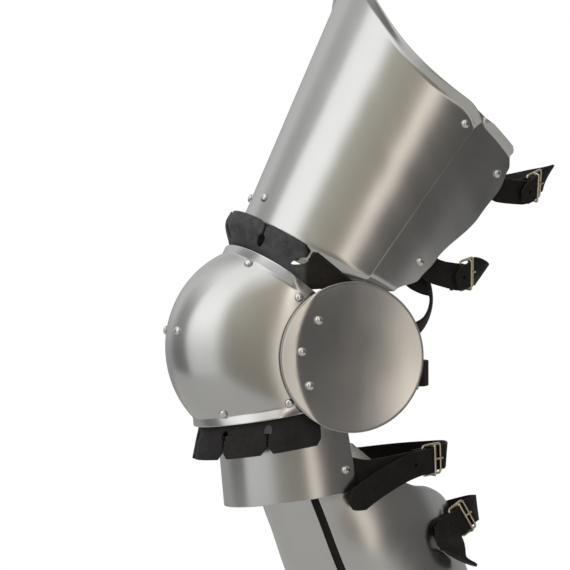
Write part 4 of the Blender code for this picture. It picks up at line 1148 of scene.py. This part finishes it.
def laid(surface, rows):
    """Places of a route on a limb. Each row: degrees from the front, place along the limb, height over it."""
    turned = [(math.radians(degrees), along, out) for degrees, along, out in rows]
    return [(surface(turn, along, out), normal_of(surface, turn, along)) for turn, along, out in turned]


LAYER = BUCKLE_WIRE + GAP + LEATHER / 2
OVER = LAYER + LEATHER + GAP
PIVOT_BAR = -0.0085
KEEPER_BAR = 0.0010
REST_BAR = PIVOT_BAR + BUCKLE_LENGTH


def make_buckle(name, matrix):
    """A wire frame with a raised keeper bar, and a tongue that turns on its first bar."""
    half = BUCKLE_WIDTH / 2
    frame_points = []
    for x, y, turn in (
        (REST_BAR, half, 0.0), (PIVOT_BAR, half, 0.5), (PIVOT_BAR, -half, 1.0), (REST_BAR, -half, 1.5)
    ):
        centre = (x - math.copysign(BUCKLE_ROUND, x - KEEPER_BAR), y - math.copysign(BUCKLE_ROUND, y))
        first = turn * math.pi
        frame_points += circle(centre, BUCKLE_ROUND, first, first + math.pi / 2 * 1.2, 6)
    rise = OVER + BUCKLE_WIRE
    bar_points = [(KEEPER_BAR, -half, 0)]
    for turn in (0.0, 0.4, 0.8, 1.2, math.pi / 2):
        inset, below = KEEPER_BEND * (1 - math.cos(turn)), KEEPER_BEND * (1 - math.sin(turn))
        bar_points.append((KEEPER_BAR, inset - half, rise - below))
    bar_points += [(x, -y, z) for x, y, z in reversed(bar_points)]
    ring = BUCKLE_WIRE + GAP + TONGUE_WIRE
    turns = [math.radians(lerp(-70, -290, i / 12)) for i in range(13)]
    tongue_points = [(PIVOT_BAR + ring * math.cos(turn), 0, ring * math.sin(turn)) for turn in turns]
    tongue_points += [
        (PIVOT_BAR + 0.0032, 0, 0.0015),
        (KEEPER_BAR, 0, 0.0011),
        (KEEPER_BAR + 0.0045, 0, 0.0014),
        (REST_BAR - 0.002, 0, ring),
        (REST_BAR + 0.0012, 0, ring),
    ]
    frame_line = ([matrix @ Vector((x, y, 0)) for x, y in frame_points], BUCKLE_WIRE, True)
    bar_line = ([matrix @ Vector(point) for point in bar_points], BUCKLE_WIRE * 0.93, False)
    tongue_line = ([matrix @ Vector(point) for point in tongue_points], TONGUE_WIRE, False)
    tubes(name + "_buckle", [frame_line, bar_line], "brass")
    tubes(name + "_tongue", [tongue_line], "brass")


def buckled_strap(name, seat, ahead, holder_route, strap_route, tail_route, seats):
    """The holder ends folded round the buckle's first bar. The strap passes through and over it, to its tip.

    A place of a route is either a pair of vectors or a pair of numbers: ahead of the buckle and above it."""
    origin, out = seat
    ahead = Vector(ahead).normalized()
    side = out.cross(ahead).normalized()
    out = ahead.cross(side).normalized()
    matrix = Matrix.Translation(origin) @ Matrix((ahead, side, out)).transposed().to_4x4()

    def local(u, w):
        return matrix @ Vector((u, 0, w)), out

    def routed(route):
        return [local(*place) if isinstance(place[0], float) else place for place in route]

    holder = routed(holder_route) + [local(PIVOT_BAR - 0.006, LAYER)]
    for degrees in (90, 45, 0, -45, -90):
        turn = math.radians(degrees)
        around = Vector((math.cos(turn), 0, math.sin(turn)))
        holder.append((matrix @ (Vector((PIVOT_BAR, 0, 0)) + around * LAYER), matrix.to_3x3() @ around))
    holder.append((matrix @ Vector((PIVOT_BAR - 0.006, 0, -LAYER)), -out))
    holder.append((matrix @ Vector((PIVOT_BAR - 0.011, 0, -LAYER)), -out))
    fold = len(holder_route) + 3
    ribbon(name + "_holder", holder, STRAP_WIDTH, seats=seats, slots=[(fold, HOLDER_SLOT)])
    strap = routed(strap_route) + [
        local(REST_BAR + 0.008, -LAYER),
        local(REST_BAR, -LAYER),
        local(REST_BAR - 0.0035, -0.0018),
        local(REST_BAR - 0.0065, 0.0010),
        local(KEEPER_BAR + 0.0022, 0.0030),
        local(KEEPER_BAR, 0.0036),
        local(KEEPER_BAR - 0.0045, 0.0049),
        local(PIVOT_BAR, OVER),
        local(PIVOT_BAR - 0.007, OVER),
    ]
    slot = len(strap_route) + 3
    strap += routed(tail_route)
    slots = [(slot, STRAP_SLOT)]
    ribbon(name + "_strap", strap, STRAP_WIDTH, STRAP_POINT, seats, slots, STRAP_HOLES[name])
    make_buckle(name, matrix)


# Distance of each punched hole from the tip of its strap
STRAP_HOLES = {
    "upper_thigh": [0.012],
    "lower_thigh": [0.012],
    "knee": [0.012],
    "lame": [0.074],
    "greave_upper": [0.020, 0.095],
    "greave_lower": [0.012],
}

SIDE_SEAT = -SEAT - STEEL - LAP
GREAVE_LOWER_STRAP = 0.376
CUISSE_SEATS = [("cuisse_side_plate", -1), ("cuisse_plate", -1)]
CALF_SEATS = [("greave_calf_outer", 1), ("greave_calf_inner", 1)]


def make_thigh_straps():
    buckled_strap(
        "upper_thigh",
        placed(0.045, 0.226, 0.155),
        (-0.40, 0.86, 0.33),
        laid(thigh, [
            (116, 0.227, SIDE_SEAT), (122, 0.226, SIDE_SEAT),
            (128, 0.225, SIDE_SEAT - 0.0008), (133, 0.224, SIDE_SEAT - 0.0012),
        ]),
        laid(thigh, [
            (292, 0.182, -SEAT), (285, 0.188, -SEAT), (278, 0.194, -SEAT), (266, 0.204, -0.002),
            (245, 0.222, 0.0), (215, 0.245, 0.0), (190, 0.268, 0.0), (168, 0.270, 0.0),
        ]),
        [(PIVOT_BAR - 0.0140, OVER + 0.0002)],
        CUISSE_SEATS,
    )
    buckled_strap(
        "lower_thigh",
        placed(0.047, 0.158, 0.074),
        (-0.50, 0.80, 0.20),
        laid(thigh, [
            (109, 0.126, SIDE_SEAT), (115, 0.1265, SIDE_SEAT),
            (121, 0.1275, SIDE_SEAT - 0.0008), (125.5, 0.1275, SIDE_SEAT - 0.0012),
        ]),
        laid(thigh, [
            (292, 0.110, -SEAT), (285, 0.113, -SEAT), (278, 0.117, -SEAT), (266, 0.124, -0.002),
            (240, 0.138, 0.0), (210, 0.150, 0.0), (180, 0.157, 0.0), (165, 0.157, 0.0),
        ]),
        [(PIVOT_BAR - 0.0140, OVER + 0.0002)],
        CUISSE_SEATS,
    )


def make_knee_strap():
    buckled_strap(
        "knee",
        placed(0.0535, 0.098, -0.0165),
        (-0.26, 0.965, 0.0),
        laid(poleyn, [(104, 0.65, -SEAT), (111, 0.65, -SEAT - 0.0004), (118, 0.65, -SEAT - 0.0012)])
        + [placed(0.0560, 0.050, -0.0160, (1, 0, 0)), (PIVOT_BAR - 0.018, LAYER)],
        laid(poleyn, [(-104, 0.65, -SEAT), (-111, 0.65, -SEAT - 0.0004), (-118, 0.65, -SEAT - 0.0012)])
        + [
            placed(-0.0560, 0.052, -0.016, (-1, 0, 0)),
            placed(-0.0575, 0.080, -0.016),
            placed(-0.052, 0.106, -0.016),
            placed(-0.034, 0.125, -0.016),
            placed(0.0, 0.133, -0.016),
            placed(0.032, 0.127, -0.016),
        ],
        [(PIVOT_BAR - 0.0160, OVER)],
        [("poleyn", -1)],
    )


def make_lame_strap():
    buckled_strap(
        "lame",
        placed(0.050, 0.122, -0.0945),
        (-0.30, 0.93, 0.12),
        laid(lame, [(96, 0.70, -SEAT), (102, 0.70, -SEAT), (108, 0.70, -SEAT - 0.0016)])
        + [placed(0.0553, 0.058, -0.1045, (1, 0.2, 0)), placed(0.0590, 0.084, -0.1005)],
        laid(lame, [(-96, 0.70, -SEAT), (-102, 0.70, -SEAT), (-108, 0.70, -SEAT - 0.0016)])
        + [
            placed(-0.0554, 0.060, -0.103, (-1, 0.2, 0)),
            placed(-0.056, 0.094, -0.100),
            placed(-0.042, 0.126, -0.096),
            placed(-0.018, 0.148, -0.093),
            placed(0.010, 0.152, -0.091),
        ],
        [
            placed(0.0640, 0.088, -0.1035, (1, 0.20, 0)),
            placed(0.0680, 0.060, -0.1180, (1, 0.12, 0)),
            placed(0.0685, 0.038, -0.1335, (1, 0.06, 0)),
        ],
        [("lower_lame", -1), *CALF_SEATS],
    )


def make_greave_straps():
    buckled_strap(
        "greave_upper",
        placed(0.033, 0.160, -0.151, (0.856, 0.315, 0.269)),
        (-0.42, 0.80, 0.40),
        laid(shank, [(123, 0.196, SEAT + 0.0004), (129, 0.196, SEAT + 0.0004)])
        + [(PIVOT_BAR - 0.012, LAYER)],
        laid(shank, [(240, 0.197, SEAT), (228, 0.198, SEAT), (212, 0.199, SEAT + 0.003)])
        + [placed(-0.012, 0.184, -0.145), placed(0.006, 0.187, -0.143, (0.5, 0.8, 0.1))],
        [
            placed(0.0545, 0.1365, -0.160, (0.90, 0.10, 0.25)),
            placed(0.0620, 0.1390, -0.172, (0.80, -0.58, -0.10)),
            placed(0.0570, 0.1460, -0.182, (0.20, -0.65, -0.72)),
            placed(0.0490, 0.1660, -0.192, (0.15, -0.60, -0.78)),
        ],
        CALF_SEATS,
    )
    level = GREAVE_LOWER_STRAP
    turn = math.radians(170)
    buckled_strap(
        "greave_lower",
        (shank(turn, level, 0.0055), normal_of(shank, turn, level)),
        shank(turn + 0.02, level) - shank(turn - 0.02, level),
        laid(shank, [(112, level, SEAT + 0.0003), (124, level, SEAT + 0.0006), (136, level, SEAT + 0.0025)]),
        laid(shank, [
            (250, level, SEAT + 0.0004), (238, level, SEAT + 0.0004),
            (226, level, SEAT + 0.0004), (212, level, SEAT + 0.0010),
        ]),
        [(PIVOT_BAR - 0.0160, OVER + 0.0004)],
        CALF_SEATS,
    )


def make_side_leather():
    """The leather behind the rondel that joins the cuisse's side plate to the wing of the poleyn."""
    under = SIDE_SEAT - LEATHER - GAP - 0.0008
    route = laid(thigh, [(113, 0.133, under), (115, 0.123, under - 0.0006), (118, 0.113, under - 0.002)])
    route += [
        placed(0.0508, 0.1205, 0.061, (0.50, 0.86, 0.05)),
        placed(0.0505, 0.1225, 0.045, (0.45, 0.86, -0.25)),
        placed(0.0520, 0.1130, 0.028, (0.55, 0.68, -0.48)),
        placed(0.0550, 0.090, 0.017, (0.85, 0.30, -0.43)),
        placed(0.0545, 0.062, 0.012, (0.98, 0.15, -0.10)),
    ]
    route += laid(poleyn, [(118, 0.33, -SEAT - 0.0012), (112, 0.33, -SEAT - 0.0004), (105, 0.33, -SEAT)])
    ribbon("side_leather", route, SIDE_LEATHER_WIDTH, seats=[("poleyn", -1)])


make_cuisse()
make_side_plate()
make_poleyn()
make_rondel()
make_lame()
make_greave()
make_bands()
make_centre_leather()
make_greave_hinge("greave_hinge_outer", 1)
make_greave_hinge("greave_hinge_inner", -1)
make_thigh_straps()
make_knee_strap()
make_lame_strap()
make_greave_straps()
make_side_leather()
make_rivets()


# Light, floor and camera


def make_world():
    """A studio: a soft white panel at the front, a warm one past the camera, darker walls between.

    The camera itself sees plain white."""
    world = bpy.data.worlds.new("studio")
    bpy.context.scene.world = world
    world.use_nodes = True
    tree = world.node_tree
    link = tree.links.new
    place = tree.nodes.new("ShaderNodeTexCoord")
    turn = tree.nodes.new("ShaderNodeMapping")
    turn.inputs["Rotation"].default_value = (0, 0, math.pi / 2 - CAMERA_TURN)
    link(place.outputs["Generated"], turn.inputs["Vector"])
    around = tree.nodes.new("ShaderNodeTexGradient")
    around.gradient_type = "RADIAL"
    link(turn.outputs["Vector"], around.inputs["Vector"])
    split = tree.nodes.new("ShaderNodeSeparateXYZ")
    link(turn.outputs["Vector"], split.inputs["Vector"])
    height = split.outputs["Z"]
    walls = ramped(tree, around.outputs["Fac"], STUDIO_WALLS)
    heights = ramped(tree, ranged(tree, height, 0.0, 1.0, -1.0, 1.0), STUDIO_HEIGHTS)
    ceiling = ramped(tree, around.outputs["Fac"], STUDIO_CEILING)
    overhead = ranged(tree, height, 0.0, 1.0, OVERHEAD_START, OVERHEAD_FULL)
    sky = mixed(tree, overhead, mixed(tree, 1.0, walls, heights, "MULTIPLY"), ceiling)
    studio = tree.nodes["Background"]
    link(sky, studio.inputs["Color"])
    plain = tree.nodes.new("ShaderNodeBackground")
    plain.inputs["Color"].default_value = (1, 1, 1, 1)
    seen = tree.nodes.new("ShaderNodeLightPath")
    either = tree.nodes.new("ShaderNodeMixShader")
    link(seen.outputs["Is Camera Ray"], either.inputs["Fac"])
    link(studio.outputs["Background"], either.inputs[1])
    link(plain.outputs["Background"], either.inputs[2])
    link(either.outputs["Shader"], tree.nodes["World Output"].inputs["Surface"])


def make_floor():
    height = cad_box[0].z - FLOOR_GAP
    half = FLOOR_SIZE / 2
    corners = [(-half, -half, height), (half, -half, height), (half, half, height), (-half, half, height)]
    mesh = bpy.data.meshes.new("floor")
    mesh.from_pydata(corners, [], [(0, 1, 2, 3)])
    item = bpy.data.objects.new("floor", mesh)
    bpy.context.scene.collection.objects.link(item)
    tree, shader = new_material("floor", (0.75, 0.75, 0.74), 0.0, 0.7)
    feed(tree, shader, tinted(tree, noise_field(tree, 3, 2.0), (0.73, 0.73, 0.72), (0.77, 0.77, 0.76)))
    mesh.materials.append(materials["floor"])


def make_camera():
    camera = bpy.data.cameras.new("camera")
    camera.sensor_width = SENSOR_WIDTH
    camera.lens = SENSOR_WIDTH * CAMERA_DISTANCE / CAMERA_VIEW
    item = bpy.data.objects.new("camera", camera)
    bpy.context.scene.collection.objects.link(item)
    back = Vector((math.sin(CAMERA_TURN), -math.cos(CAMERA_TURN), 0))
    item.location = CAMERA_TARGET + back * CAMERA_DISTANCE
    item.rotation_euler = (-back).to_track_quat("-Z", "Y").to_euler()
    bpy.context.scene.camera = item


make_world()
make_floor()
make_camera()
bpy.context.scene.view_settings.view_transform = "Standard"
